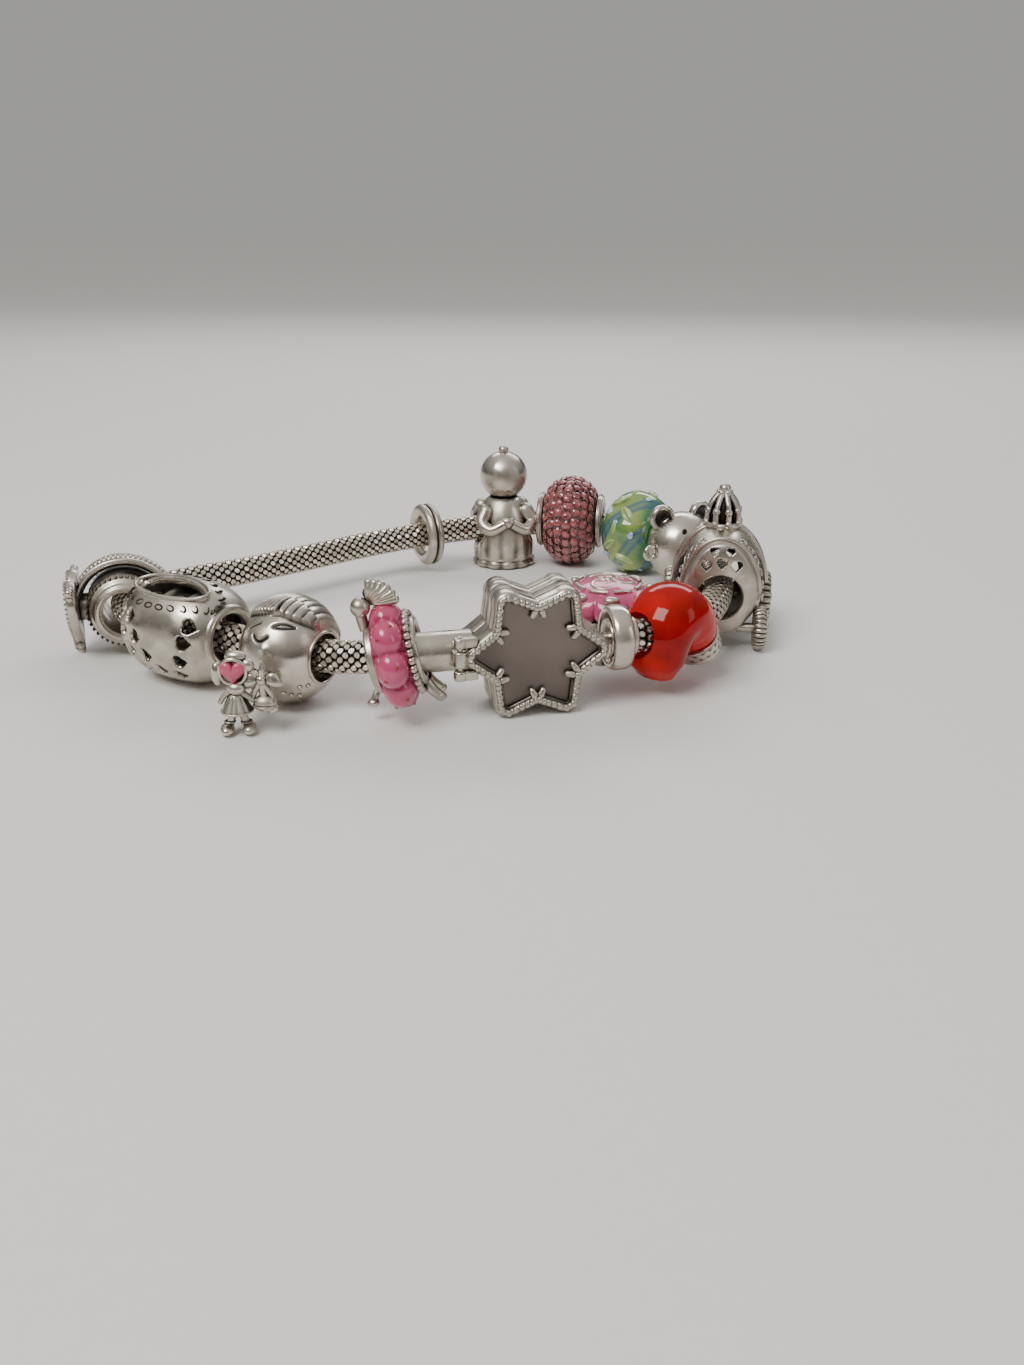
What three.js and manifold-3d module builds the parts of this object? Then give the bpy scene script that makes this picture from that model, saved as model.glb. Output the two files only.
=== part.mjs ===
// Charm bracelet: a woven silver chain closed by a hinged star clasp and strung with charms.
// Millimetres, +Z up, lying on the plane z = 0 with the clasp towards -Y; the origin is at the base's centre.

import * as THREE from 'three';
import { mergeVertices } from 'three/addons/utils/BufferGeometryUtils.js';
import Module from 'manifold-3d';

const wasm = await Module();
wasm.setup();

// Fits shared by all pieces
const pieceGap = 0.3;
const linkNarrowing = 0.7;
const fuse = 0.25;
const tolerance = 0.035;

// Woven chain and its two end caps
const chainDiameter = 3.2;
const chainSides = 8;
const chainStep = 3.2;
const capDiameter = 3.6;
const boreClearance = 0.35;

// Star clasp: two halves round a ball, hinged at the left tip
const clasp = {
  centreX: 10.2,
  centreY: -20.4,
  yaw: 13,
  tipReach: 6.5,
  notchReach: 4.75,
  tipRound: 1.25,
  thickness: 5.4,
  rimWidth: 0.95,
  recess: 0.45,
  bevel: 0.35,
  barrelLength: 4.8,
  barrelInBead: 1,
  ballDiameter: 2.6,
  ballInset: 4.1,
  neckDiameter: 1.2,
  endCapLength: 2.6,
  pinDiameter: 0.5,
  knuckleWall: 0.2,
  knuckleHeight: 0.9,
};
const pinClearance = 0.15;

// Charms, strung rightwards from the clasp: length along the chain and the bare stretch before each
const stopper = { bareBefore: 0.5, length: 1.9, diameter: 6 };
const stocking = { bareBefore: 0.8, length: 8.8, height: 9.8, thickness: 7.2, cuffHeight: 1.9,
  topHeight: 1.2 };
const coach = { bareBefore: 7.4, length: 9.6, width: 9.4, height: 10.4, wall: 0.9, crownHeight: 4.2,
  crownWidth: 3.6, windowGap: 1.3, frontWheel: 4.4, rearWheel: 5.8, wheelBreadth: 1.3, hearts: 1.25 };
const bear = { bareBefore: 9.2, length: 7.4, diameter: 8.2, ear: 3.1, earDepth: 0.7, eyelet: 1.9,
  wire: 0.55 };
const green = { bareBefore: 0.5, length: 6.8, diameter: 9.8, bumps: 5, bump: 3.4 };
const pave = { bareBefore: 1.65, length: 8.2, diameter: 11, flange: 6.6, flangeLength: 0.8, coreWall: 0.5 };
const bell = { bareBefore: 0.6, base: 7.8, waist: 4, head: 5.9, headRise: 6.4, knot: 1.3, drop: 4.9 };
const spacer = { bareBefore: 5.2, length: 2, diameter: 7.6 };

// Charms, strung leftwards from the clasp
const lobed = { bareBefore: 0.2, length: 3.4, diameter: 9.8, lobes: 8, lobeLength: 2.9, tilt: -12, fan: 3.4 };
const face = { bareBefore: 4.6, length: 8.6, diameter: 9.4, hairRise: 0.45, hairline: 0.52,
  hairLean: 32, partingX: 0.5, hookX: -1.2 };
const pierced = { bareBefore: 2.3, length: 11.2, diameter: 9.9, wall: 1, windowLength: 7.6, windowWidth: 2.8,
  hole: 1.05, lip: 0.5 };
const framed = { bareBefore: 3.2, length: 6.8, diameter: 7.6, plate: 8.8, plateThick: 0.9, plateOut: 4.4,
  bandWidth: 2.6, bandThick: 0.7 };

// Iced cake that stands inside the loop on its jump ring
const cake = { x: 18, y: -8, topDiameter: 10, cupTop: 8, cupFoot: 6, cupHeight: 4.6, icingHeight: 3.2,
  lobes: 8, pleats: 18, eye: 1.6, eyeWire: 0.34, eyeHeight: 3.3, ringWire: 0.32 };

// Small doll with an enamel heart and a ribbon, on a ring under the face bead, resting on the plane
const doll = { x: -14.9, y: -26.6, height: 7.4, skirt: 2.5, heart: 1.9, arm: 2.4, foot: 1.5, ribbonWidth: 3.4,
  ribbonDome: 1.9, ribbonX: 2.3, ribbonZ: 4.6, eye: 1.8, eyeWire: 0.34, eyeHeight: 2.7, ringWire: 0.32 };

// Route of the woven chain, anticlockwise from above between its end caps: x, y and z
const chainRoute = [
  [22.4, -16.7, 5.5],
  [26.4, -12.2, 5.4],
  [29, -6.4, 5.5],
  [30.3, 0, 5.55],
  [30.8, 8.4, 5],
  [28.4, 16.6, 4.8],
  [23.9, 22.4, 4.95],
  [17.2, 25.9, 5.2],
  [9, 26.2, 4.9],
  [-0.6, 23.6, 4.5],
  [-8.6, 18.8, 4.3],
  [-15.8, 12.8, 4.2],
  [-22, 7.4, 4.2],
  [-27.6, 3, 4.3],
  [-31, -2.8, 4.5],
  [-29.4, -8.2, 4.8],
  [-24.2, -12.4, 4.95],
  [-17.8, -16.2, 4.85],
  [-11.9, -19.3, 4.8],
  [-6.6, -21.8, 5.1],
];

const chainRadius = chainDiameter / 2;
const capRadius = capDiameter / 2;
const boreRadius = capRadius + boreClearance;

// Solids: three.js geometry in, one manifold out
function solidOf(geometry) {
  const bare = geometry.clone();
  bare.deleteAttribute('normal');
  bare.deleteAttribute('uv');
  const merged = mergeVertices(bare, 1e-4);
  const index = merged.index.array;
  const kept = [];
  for (let i = 0; i < index.length; i += 3) {
    const [a, b, c] = [index[i], index[i + 1], index[i + 2]];
    if (a !== b && b !== c && a !== c) kept.push(a, b, c);
  }
  const vertProperties = merged.attributes.position.array;
  const corner = (i) => new THREE.Vector3().fromArray(vertProperties, 3 * kept[i]);
  let volume = 0;
  for (let i = 0; i < kept.length; i += 3) volume += corner(i).dot(corner(i + 1).cross(corner(i + 2)));
  if (volume < 0) kept.reverse();
  return new wasm.Manifold(new wasm.Mesh({ numProp: 3, vertProperties, triVerts: Uint32Array.from(kept) }));
}

function join(geometries) {
  return geometries.map(solidOf).reduce((whole, part) => whole.add(part));
}

function cut(whole, tools) {
  return tools.length ? whole.subtract(join(tools)) : whole;
}

function meshOf(name, solid, material) {
  const { vertProperties, triVerts, numProp } = solid.simplify(tolerance).getMesh();
  const geometry = new THREE.BufferGeometry();
  const count = vertProperties.length / numProp;
  const position = new Float32Array(count * 3);
  for (let i = 0; i < count; i++) {
    for (let k = 0; k < 3; k++) position[3 * i + k] = vertProperties[numProp * i + k];
  }
  geometry.setAttribute('position', new THREE.BufferAttribute(position, 3));
  geometry.setIndex(Array.from(triVerts));
  geometry.computeVertexNormals();
  const mesh = new THREE.Mesh(geometry, material);
  mesh.name = name;
  return mesh;
}

function silver(color = 0xb9b0a3) {
  return new THREE.MeshStandardMaterial({ color, roughness: 0.34, metalness: 1 });
}

function enamel(color) {
  return new THREE.MeshStandardMaterial({ color, roughness: 0.22, metalness: 0 });
}

// Basic shapes, each placed in its charm's own frame: X along the chain, -Y outwards, Z up
function ball(x, y, z, radius, sides = 12) {
  return new THREE.SphereGeometry(radius, sides, Math.round(sides / 2)).translate(x, y, z);
}

function egg(x, y, z, rx, ry, rz, sides = 14) {
  return new THREE.SphereGeometry(1, sides, Math.round(sides / 2)).scale(rx, ry, rz).translate(x, y, z);
}

function rod(from, to, radius, sides = 12) {
  const start = new THREE.Vector3(...from);
  const along = new THREE.Vector3(...to).sub(start);
  const length = along.length();
  const turn = new THREE.Quaternion().setFromUnitVectors(new THREE.Vector3(0, 1, 0), along.normalize());
  const geometry = new THREE.CylinderGeometry(radius, radius, length, sides).translate(0, length / 2, 0);
  return geometry.applyQuaternion(turn).translate(start.x, start.y, start.z);
}

function box(minX, maxX, minY, maxY, minZ, maxZ) {
  const geometry = new THREE.BoxGeometry(maxX - minX, maxY - minY, maxZ - minZ);
  return geometry.translate((minX + maxX) / 2, (minY + maxY) / 2, (minZ + maxZ) / 2);
}

function ringAbout(axis, x, y, z, radius, wire, sides = 16, wireSides = 6) {
  const geometry = new THREE.TorusGeometry(radius, wire, wireSides, sides);
  if (axis === 'x') geometry.rotateY(Math.PI / 2);
  if (axis === 'y') geometry.rotateX(Math.PI / 2);
  return geometry.translate(x, y, z);
}

// A turned body: profile pairs are place along the axis and radius, first and last on the axis
function turned(axis, profile, sides = 18) {
  const outline = profile.map(([along, radius]) => new THREE.Vector2(radius, along));
  const geometry = new THREE.LatheGeometry(outline, sides);
  if (axis === 'x') geometry.rotateZ(-Math.PI / 2);
  if (axis === 'z') geometry.rotateX(Math.PI / 2);
  return geometry;
}

// A plate of the given outline, drawn in X and Z and thick along Y between two places
function plateAlongY(outline, fromY, toY, bevel = 0) {
  const depth = toY - fromY - 2 * bevel;
  const options = { depth, bevelEnabled: bevel > 0, bevelThickness: bevel, bevelSize: bevel,
    bevelOffset: -bevel, bevelSegments: 1 };
  const geometry = new THREE.ExtrudeGeometry(new THREE.Shape(outline), options);
  return geometry.rotateX(Math.PI / 2).translate(0, toY - bevel, 0);
}

// A plate drawn in Y and Z and thick along X
function plateAlongX(outline, fromX, toX) {
  const options = { depth: toX - fromX, bevelEnabled: false };
  const geometry = new THREE.ExtrudeGeometry(new THREE.Shape(outline), options);
  return geometry.rotateX(Math.PI / 2).rotateZ(Math.PI / 2).translate(fromX, 0, 0);
}

// A closed skin over rings of points, with a pole at each end
function skin(rings, startPole, endPole) {
  const sides = rings[0].length;
  const points = [...rings.flat(), startPole, endPole];
  const index = [];
  for (let i = 0; i + 1 < rings.length; i++) {
    for (let k = 0; k < sides; k++) {
      const a = i * sides + k;
      const b = i * sides + (k + 1) % sides;
      index.push(a, b, a + sides, b, b + sides, a + sides);
    }
  }
  const start = rings.length * sides;
  const last = start - sides;
  for (let k = 0; k < sides; k++) {
    index.push(start, (k + 1) % sides, k, start + 1, last + k, last + (k + 1) % sides);
  }
  const geometry = new THREE.BufferGeometry();
  const values = points.flatMap((point) => point.toArray());
  geometry.setAttribute('position', new THREE.Float32BufferAttribute(values, 3));
  geometry.setIndex(index);
  return geometry;
}

// A bent body: each row is a centre in X and Z, the reach in the bend's plane and the reach along Y
function bentBody(rows, startCap, endCap, sides = 16, stepsPerRow = 2) {
  const through = (points) => new THREE.CatmullRomCurve3(points, false, 'centripetal');
  const centres = through(rows.map(([x, z]) => new THREE.Vector3(x, 0, z)));
  const reaches = through(rows.map(([, , a, b]) => new THREE.Vector3(a, b, 0)));
  const count = (rows.length - 1) * stepsPerRow;
  const rings = [];
  for (let i = 0; i <= count; i++) {
    const t = i / count;
    const centre = centres.getPoint(t);
    const along = centres.getTangent(t);
    const reach = reaches.getPoint(t);
    const ring = [];
    for (let k = 0; k < sides; k++) {
      const angle = (2 * Math.PI * k) / sides;
      const inPlane = reach.x * Math.cos(angle);
      const y = reach.y * Math.sin(angle);
      ring.push(new THREE.Vector3(centre.x - along.z * inPlane, y, centre.z + along.x * inPlane));
    }
    rings.push(ring);
  }
  const startPole = centres.getPoint(0).addScaledVector(centres.getTangent(0), -startCap);
  const endPole = centres.getPoint(1).addScaledVector(centres.getTangent(1), endCap);
  return skin(rings, startPole, endPole);
}

// An upright body with lobes or pleats: rows are height, radius and how deep the lobes cut, as a share
function lobedBody(rows, lobes, stepsPerLobe = 2) {
  const sides = lobes * stepsPerLobe * 2;
  const rings = rows.map(([z, radius, depth]) => {
    const ring = [];
    for (let k = 0; k < sides; k++) {
      const angle = (2 * Math.PI * k) / sides;
      const reach = radius * (1 - depth * (0.5 - 0.5 * Math.cos(lobes * angle)));
      ring.push(new THREE.Vector3(reach * Math.cos(angle), reach * Math.sin(angle), z));
    }
    return ring;
  });
  const startPole = new THREE.Vector3(0, 0, rows[0][0]);
  const endPole = new THREE.Vector3(0, 0, rows[rows.length - 1][0]);
  return skin(rings, startPole, endPole);
}

// Outlines
function starOutline(inset = 0) {
  const round = Math.max(clasp.tipRound - inset, 0.2);
  const tipCentre = clasp.tipReach - inset - round;
  const notch = clasp.notchReach - 1.1 * inset;
  const points = [];
  for (let tip = 0; tip < 6; tip++) {
    const facing = (tip * Math.PI) / 3;
    for (let k = -1.5; k <= 1.5; k++) {
      const angle = facing + (k * Math.PI) / 5;
      const x = tipCentre * Math.cos(facing) + round * Math.cos(angle);
      const y = tipCentre * Math.sin(facing) + round * Math.sin(angle);
      points.push(new THREE.Vector2(x, y));
    }
    const between = facing + Math.PI / 6;
    points.push(new THREE.Vector2(notch * Math.cos(between), notch * Math.sin(between)));
  }
  return points;
}

function heartOutline(size, x, y, count = 8) {
  const points = [];
  for (let k = 0; k < count; k++) {
    const t = (2 * Math.PI * k) / count;
    const px = Math.sin(t) ** 3 * 0.5;
    const py = (13 * Math.cos(t) - 5 * Math.cos(2 * t) - 2 * Math.cos(3 * t) - Math.cos(4 * t)) / 32;
    points.push(new THREE.Vector2(x + size * px, y + size * py));
  }
  return points.reverse();
}

// The chain's whole path, from the clasp's centre round to it again
class PathStretch extends THREE.Curve {
  constructor(path, from, to) {
    super();
    this.path = path;
    this.from = from / path.getLength();
    this.to = to / path.getLength();
  }

  getPoint(t, target = new THREE.Vector3()) {
    return target.copy(this.path.getPointAt(THREE.MathUtils.lerp(this.from, this.to, t)));
  }
}

const claspHeight = (clasp.tipReach - clasp.tipRound) * Math.sin(Math.PI / 3) + clasp.tipRound;
const endCapStart = clasp.tipReach + 1.6 * pieceGap;
const endCapEnd = endCapStart + clasp.endCapLength;
const barrelEnd = clasp.tipReach + clasp.barrelLength;

function claspPoint(along) {
  const yaw = THREE.MathUtils.degToRad(clasp.yaw);
  const x = clasp.centreX + along * Math.cos(yaw);
  const y = clasp.centreY + along * Math.sin(yaw);
  return new THREE.Vector3(x, y, claspHeight);
}

function buildPath() {
  const straight = (end) => [0, end / 2, end, end + 1];
  const start = straight(endCapEnd).map((distance) => claspPoint(distance));
  const end = straight(barrelEnd).reverse().map((distance) => claspPoint(-distance));
  const middle = chainRoute.map((point) => new THREE.Vector3(...point));
  const path = new THREE.CatmullRomCurve3([...start, ...middle, ...end], false, 'centripetal');
  path.arcLengthDivisions = 1200;
  return path;
}

const path = buildPath();
const pathLength = path.getLength();

function frameAt(station, lift = 0) {
  const point = path.getPointAt(station / pathLength);
  const along = path.getTangentAt(station / pathLength);
  const group = new THREE.Group();
  group.position.set(point.x, point.y, point.z + lift);
  group.rotation.z = Math.atan2(along.y, along.x);
  group.updateMatrix();
  return group;
}

// The bore of a bead, bent as the chain is bent inside it, in the bead's own frame
function boreIn(group, station, length, radius = boreRadius, sides = 14, steps = 3) {
  const reach = length / 2 + 2.4;
  const stretch = new PathStretch(path, station - reach, station + reach);
  const circle = new THREE.Shape();
  circle.absarc(0, 0, radius, 0, 2 * Math.PI, false);
  const options = { steps, curveSegments: sides / 2, bevelEnabled: false, extrudePath: stretch };
  const geometry = new THREE.ExtrudeGeometry(circle, options);
  return geometry.applyMatrix4(group.matrix.clone().invert());
}

function chainPiece() {
  const from = endCapEnd + 1.5 * pieceGap;
  const to = pathLength - barrelEnd - 1.5 * pieceGap;
  const steps = Math.min(80, Math.round((to - from) / chainStep));
  const circle = new THREE.Shape();
  circle.absarc(0, 0, chainRadius, 0, 2 * Math.PI, false);
  const extrudePath = new PathStretch(path, from, to);
  const options = { steps, curveSegments: chainSides / 2, bevelEnabled: false, extrudePath };
  const geometry = new THREE.ExtrudeGeometry(circle, options);
  return meshOf('mesh_chain', solidOf(geometry), silver(0xb3a99b));
}

// Star clasp, in a frame at its centre
const halfClasp = clasp.thickness / 2;
const pinRadius = clasp.pinDiameter / 2;
const knuckleRadius = pinRadius + pinClearance + clasp.knuckleWall;
const hingeX = -(clasp.tipReach + 0.35);
const hingeY = -(capRadius + knuckleRadius - 0.1);
const ballX = clasp.tipReach - clasp.ballInset;

function claspHollow() {
  const chamber = ball(ballX, 0, 0, clasp.ballDiameter / 2 + pieceGap, 14);
  const channel = rod([ballX, 0, 0], [clasp.tipReach + 1, 0, 0], clasp.neckDiameter / 2 + pieceGap, 12);
  return [chamber, channel];
}

function claspBase() {
  const body = plateAlongY(starOutline(), pieceGap / 2, halfClasp, clasp.bevel);
  const barrel = solidOf(rod([-barrelEnd, 0, 0], [-clasp.tipReach + 1.2, 0, 0], capRadius, 20));
  const front = box(hingeX + 0.15, 0, -capRadius - 1, pieceGap / 2, -capRadius - 1, capRadius + 1);
  const half = clasp.knuckleHeight / 2 + 0.3;
  const knuckle = rod([hingeX, hingeY, -half], [hingeX, hingeY, half], knuckleRadius, 12);
  const web = box(hingeX - knuckleRadius, hingeX, hingeY, -capRadius / 2, -half, half);
  const reach = half + pieceGap + clasp.knuckleHeight;
  const pin = rod([hingeX, hingeY, -reach], [hingeX, hingeY, reach], pinRadius, 10);
  const whole = cut(barrel, [front]).add(join([body, knuckle, web, pin]));
  return cut(whole, claspHollow());
}

function claspLid() {
  const body = plateAlongY(starOutline(), -halfClasp, -pieceGap / 2, clasp.bevel);
  const floor = plateAlongY(starOutline(clasp.rimWidth), -halfClasp - 1, -halfClasp + clasp.recess);
  const half = clasp.knuckleHeight / 2 + 0.3;
  const low = half + pieceGap;
  const high = low + clasp.knuckleHeight;
  const knuckles = [-1, 1].map((side) => {
    return rod([hingeX, hingeY, side * low], [hingeX, hingeY, side * high], knuckleRadius, 12);
  });
  const ears = [-1, 1].map((side) => {
    const lowZ = Math.min(side * low, side * high);
    return box(hingeX, -clasp.tipReach + 1, hingeY - knuckleRadius * 0.8, hingeY + knuckleRadius * 0.8,
      lowZ, lowZ + clasp.knuckleHeight);
  });
  const pinHole = rod([hingeX, hingeY, -high - 1], [hingeX, hingeY, high + 1], pinRadius + pinClearance, 10);
  const clear = rod([hingeX, hingeY, -low], [hingeX, hingeY, low], knuckleRadius + pieceGap, 12);
  return cut(join([body, ...knuckles, ...ears]), [floor, pinHole, clear, ...claspHollow()]);
}

function chainEnd() {
  const tip = ball(ballX, 0, 0, clasp.ballDiameter / 2, 14);
  const neck = rod([ballX, 0, 0], [endCapStart + fuse, 0, 0], clasp.neckDiameter / 2, 12);
  const cap = rod([endCapStart, 0, 0], [endCapEnd, 0, 0], capRadius, 20);
  return join([tip, neck, cap]);
}

function claspPieces() {
  const group = frameAt(0);
  group.add(meshOf('clasp_base', claspBase(), silver()));
  group.add(meshOf('clasp_lid', claspLid(), silver()));
  group.add(meshOf('chain_end', chainEnd(), silver()));
  return group;
}

// Plain turned rings
function roundedRing(length, radius, sides) {
  const h = length / 2;
  const edge = Math.min(h * 0.6, 0.7);
  return turned('x', [[-h, 0], [-h, radius - edge], [-h + edge * 0.3, radius - edge * 0.3],
    [-h + edge, radius], [h - edge, radius], [h - edge * 0.3, radius - edge * 0.3], [h, radius - edge],
    [h, 0]], sides);
}

function ringPiece(name, station, size) {
  const group = frameAt(station);
  const bore = boreIn(group, station, size.length);
  const ring = cut(solidOf(roundedRing(size.length, size.diameter / 2, 24)), [bore]);
  group.add(meshOf(name, ring, silver()));
  return group;
}

// Stopper ring with an eyelet low on its inner side
function stopperPiece(station) {
  const group = frameAt(station);
  const radius = stopper.diameter / 2;
  const reach = radius + cake.eye / 2 - cake.eyeWire;
  const z = cake.eyeHeight - group.position.z;
  const low = new THREE.Vector3(0, Math.sqrt(reach * reach - z * z), z);
  const bore = boreIn(group, station, stopper.length);
  const eye = solidOf(eyelet(...low, cake, Math.PI / 2));
  const ring = cut(solidOf(roundedRing(stopper.length, radius, 24)), [bore]).add(eye);
  group.add(meshOf('stopper_ring', ring, silver()));
  return { group, hook: low.applyMatrix4(group.matrix) };
}

// Red glass stocking: a bent body whose leg ends in a silver cuff and a red top
function stockingPieces(station) {
  const group = frameAt(station);
  const l = stocking.length / 2;
  const h = stocking.height / 2;
  const w = stocking.thickness / 2;
  // share of half length, share of half height, reach in the bend as share of h, reach along Y as share of w
  const rows = [
    [-0.5, -0.72, 0.24, 0.6],
    [-0.52, -0.42, 0.46, 0.86],
    [-0.42, 0.08, 0.58, 0.97],
    [-0.06, 0.34, 0.62, 1],
    [0.32, 0.14, 0.6, 0.97],
    [0.52, -0.12, 0.52, 0.88],
  ].map(([x, z, a, b]) => [x * l, z * h, a * h, b * w]);
  const [legX, legZ] = rows[rows.length - 1];
  const lean = new THREE.Vector3(0.62, 0, -0.78);
  const along = (distance) => new THREE.Vector3(legX, 0, legZ).addScaledVector(lean, distance);
  const sleeve = (from, to, scaleFrom, scaleTo) => {
    const rings = [[from, scaleFrom], [to, scaleTo]].map(([distance, scale]) => {
      const centre = along(distance);
      return Array.from({ length: 16 }, (_, k) => {
        const angle = (2 * Math.PI * k) / 16;
        const inPlane = scale * 0.5 * h * Math.cos(angle);
        const y = scale * 0.86 * w * Math.sin(angle);
        return new THREE.Vector3(centre.x - lean.z * inPlane, y, centre.z + lean.x * inPlane);
      });
    });
    return skin(rings, along(from), along(to));
  };
  const bore = boreIn(group, station, stocking.length * 1.6);
  const cuffStart = 0.35;
  const cuffEnd = cuffStart + stocking.cuffHeight;
  const topEnd = cuffEnd + stocking.topHeight;
  const keep = sleeve(cuffStart - pieceGap, topEnd + 3, 1.7, 1.7);
  const body = cut(solidOf(bentBody(rows, 0.5, 1.2)), [bore, keep]);
  const cuff = cut(solidOf(sleeve(cuffStart, cuffEnd, 1, 0.9)), [bore]);
  const top = cut(solidOf(sleeve(cuffEnd + pieceGap, topEnd, 0.84, 0.55)), [bore]);
  group.add(meshOf('stocking_body', body, enamel(0xd0140c)));
  group.add(meshOf('stocking_cuff', cuff, silver()));
  group.add(meshOf('stocking_top', top, enamel(0xd0140c)));
  return group;
}

// Openwork coach: a hollow arched body with pierced ends, a crown on the roof and a wheel at each corner
function coachSkin(offset) {
  const l = coach.length / 2 - offset;
  const base = -coach.height * 0.38;
  const rows = [-1, -0.5, 0, 0.5, 1].map((share) => {
    const swell = 1 - 0.26 * share * share;
    const tall = coach.height * 0.38 + coach.height * 0.62 * swell;
    return [share * l, (coach.width / 2) * swell - offset, tall - offset];
  });
  const rings = rows.map(([x, halfWidth, tall]) => {
    const ring = [];
    for (let k = 0; k < 16; k++) {
      const angle = (2 * Math.PI * k) / 16;
      const z = Math.sin(angle) > 0 ? (tall + base) * Math.sin(angle) : -(base + offset) * Math.sin(angle);
      ring.push(new THREE.Vector3(x, halfWidth * Math.cos(angle), z));
    }
    return ring;
  });
  const [first, last] = [rings[0], rings[rings.length - 1]];
  return skin(rings, new THREE.Vector3(first[0].x, 0, 0), new THREE.Vector3(last[0].x, 0, 0));
}

function coachCrown(roof) {
  const r = coach.crownWidth / 2;
  const parts = [turned('z', [[roof - 0.5, 0], [roof - 0.5, r], [roof + 0.5, r], [roof + 0.5, 0]], 10)];
  for (let k = 0; k < 5; k++) {
    const angle = (2 * Math.PI * k) / 5 + 0.3;
    const [x, y] = [Math.cos(angle), Math.sin(angle)];
    const shoulder = [r * 1.05 * x, r * 1.05 * y, roof + coach.crownHeight * 0.5];
    const crest = [0.2 * x, 0.2 * y, roof + coach.crownHeight - 0.9];
    parts.push(rod([r * 0.85 * x, r * 0.85 * y, roof], shoulder, 0.32, 5));
    parts.push(rod(shoulder, crest, 0.3, 5));
    parts.push(ball(...shoulder, 0.48, 6));
  }
  parts.push(ball(0, 0, roof + coach.crownHeight - 0.7, 0.7, 8));
  return parts;
}

function coachPiece(station) {
  const group = frameAt(station);
  const roof = coach.height * 0.62;
  const floor = -group.position.z;
  const l = coach.length / 2;
  const shell = solidOf(coachSkin(0)).subtract(solidOf(coachSkin(coach.wall)));
  const endX = l - coach.wall;
  const tools = [boreIn(group, station, coach.length, boreRadius + 0.25, 14)];
  // place across as share of half width, height as share of the roof, size as share
  const heartPlaces = [[-0.42, 0.56, 1.1], [0, 0.62, 1.1], [0.42, 0.56, 1.1], [-0.24, 0.8, 0.8],
    [0.24, 0.8, 0.8]];
  for (const side of [-1, 1]) {
    for (const [across, height, size] of heartPlaces) {
      const outline = heartOutline(coach.hearts * size, across * coach.width * 0.37, height * roof * 0.92);
      tools.push(plateAlongX(outline, side * endX - 1.2, side * endX + 1.6));
    }
    for (const place of [-1, 1]) {
      const centre = place * (coach.windowGap / 2 + l * 0.36);
      const lens = egg(centre, side * coach.width * 0.5, roof * 0.1, l * 0.25, coach.wall * 2.6,
        roof * 0.5, 8);
      tools.push(lens);
    }
  }
  const wheels = [];
  for (const [end, diameter, out] of [[-1, coach.frontWheel, 0.1], [1, coach.rearWheel, 0.9]]) {
    const r = diameter / 2;
    const x = end * (l - 0.6);
    const z = floor + r;
    const inner = coach.width * 0.37 + out;
    for (const side of [-1, 1]) {
      const near = side * inner;
      const far = side * (inner + coach.wheelBreadth);
      wheels.push(rod([x, near, z], [x, far, z], r, 12));
      wheels.push(rod([x, side * coach.width * 0.24, z], [x, far + side * 0.25, z], 0.55, 6));
    }
  }
  const body = cut(shell, tools).add(join([...coachCrown(roof), ...wheels]));
  const clear = [boreIn(group, station, coach.length, boreRadius + 0.25, 14)];
  const spokes = [];
  for (const side of [-1]) {
    const z = floor + coach.rearWheel / 2;
    for (let k = 0; k < 5; k++) {
      const angle = (2 * Math.PI * k) / 5 + Math.PI / 6;
      const reach = coach.rearWheel * 0.27;
      const x = l - 0.6 + reach * Math.cos(angle);
      const y = side * (coach.width * 0.37 + 0.9 + coach.wheelBreadth / 2);
      const up = z + reach * Math.sin(angle);
      spokes.push(rod([x, y - 2, up], [x, y + 2, up], 0.5, 5));
    }
  }
  const outside = spokes.map(solidOf).reduce((a, b) => a.add(b));
  const keep = solidOf(box(-l, l * 2, -coach.width * 0.37 - 0.8, coach.width * 0.37 + 0.8, -20, 20));
  group.add(meshOf('coach', cut(body, clear).subtract(outside.subtract(keep)), silver()));
  return group;
}

// Plain bear's head with cupped ears, a muzzle and a small eyelet
function bearPiece(station) {
  const group = frameAt(station);
  const r = bear.diameter / 2;
  const parts = [egg(0, 0, 0, bear.length / 2, r, r * 0.98, 16)];
  const ear = bear.ear / 2;
  const ears = [-1, 1].map((side) => [0.1 * r, side * r * 0.62, r * 0.86]);
  for (const [x, y, z] of ears) parts.push(egg(x, y, z, ear * 0.55, ear, ear, 10));
  parts.push(egg(-bear.length * 0.4, 0, -r * 0.42, r * 0.3, r * 0.5, r * 0.34, 10));
  const wire = bear.wire / 2;
  parts.push(ringAbout('x', -0.6, r + bear.eyelet * 0.28, -0.2, bear.eyelet / 2 - wire, wire, 10, 5));
  const cup = ear * 0.66;
  const cups = ears.map(([x, y, z]) => egg(x - ear * 0.62, y, z + 0.1, bear.earDepth, cup, cup, 8));
  const head = cut(join(parts), [...cups, boreIn(group, station, bear.length + 1)]);
  group.add(meshOf('bear_head', head, silver()));
  return group;
}

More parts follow.
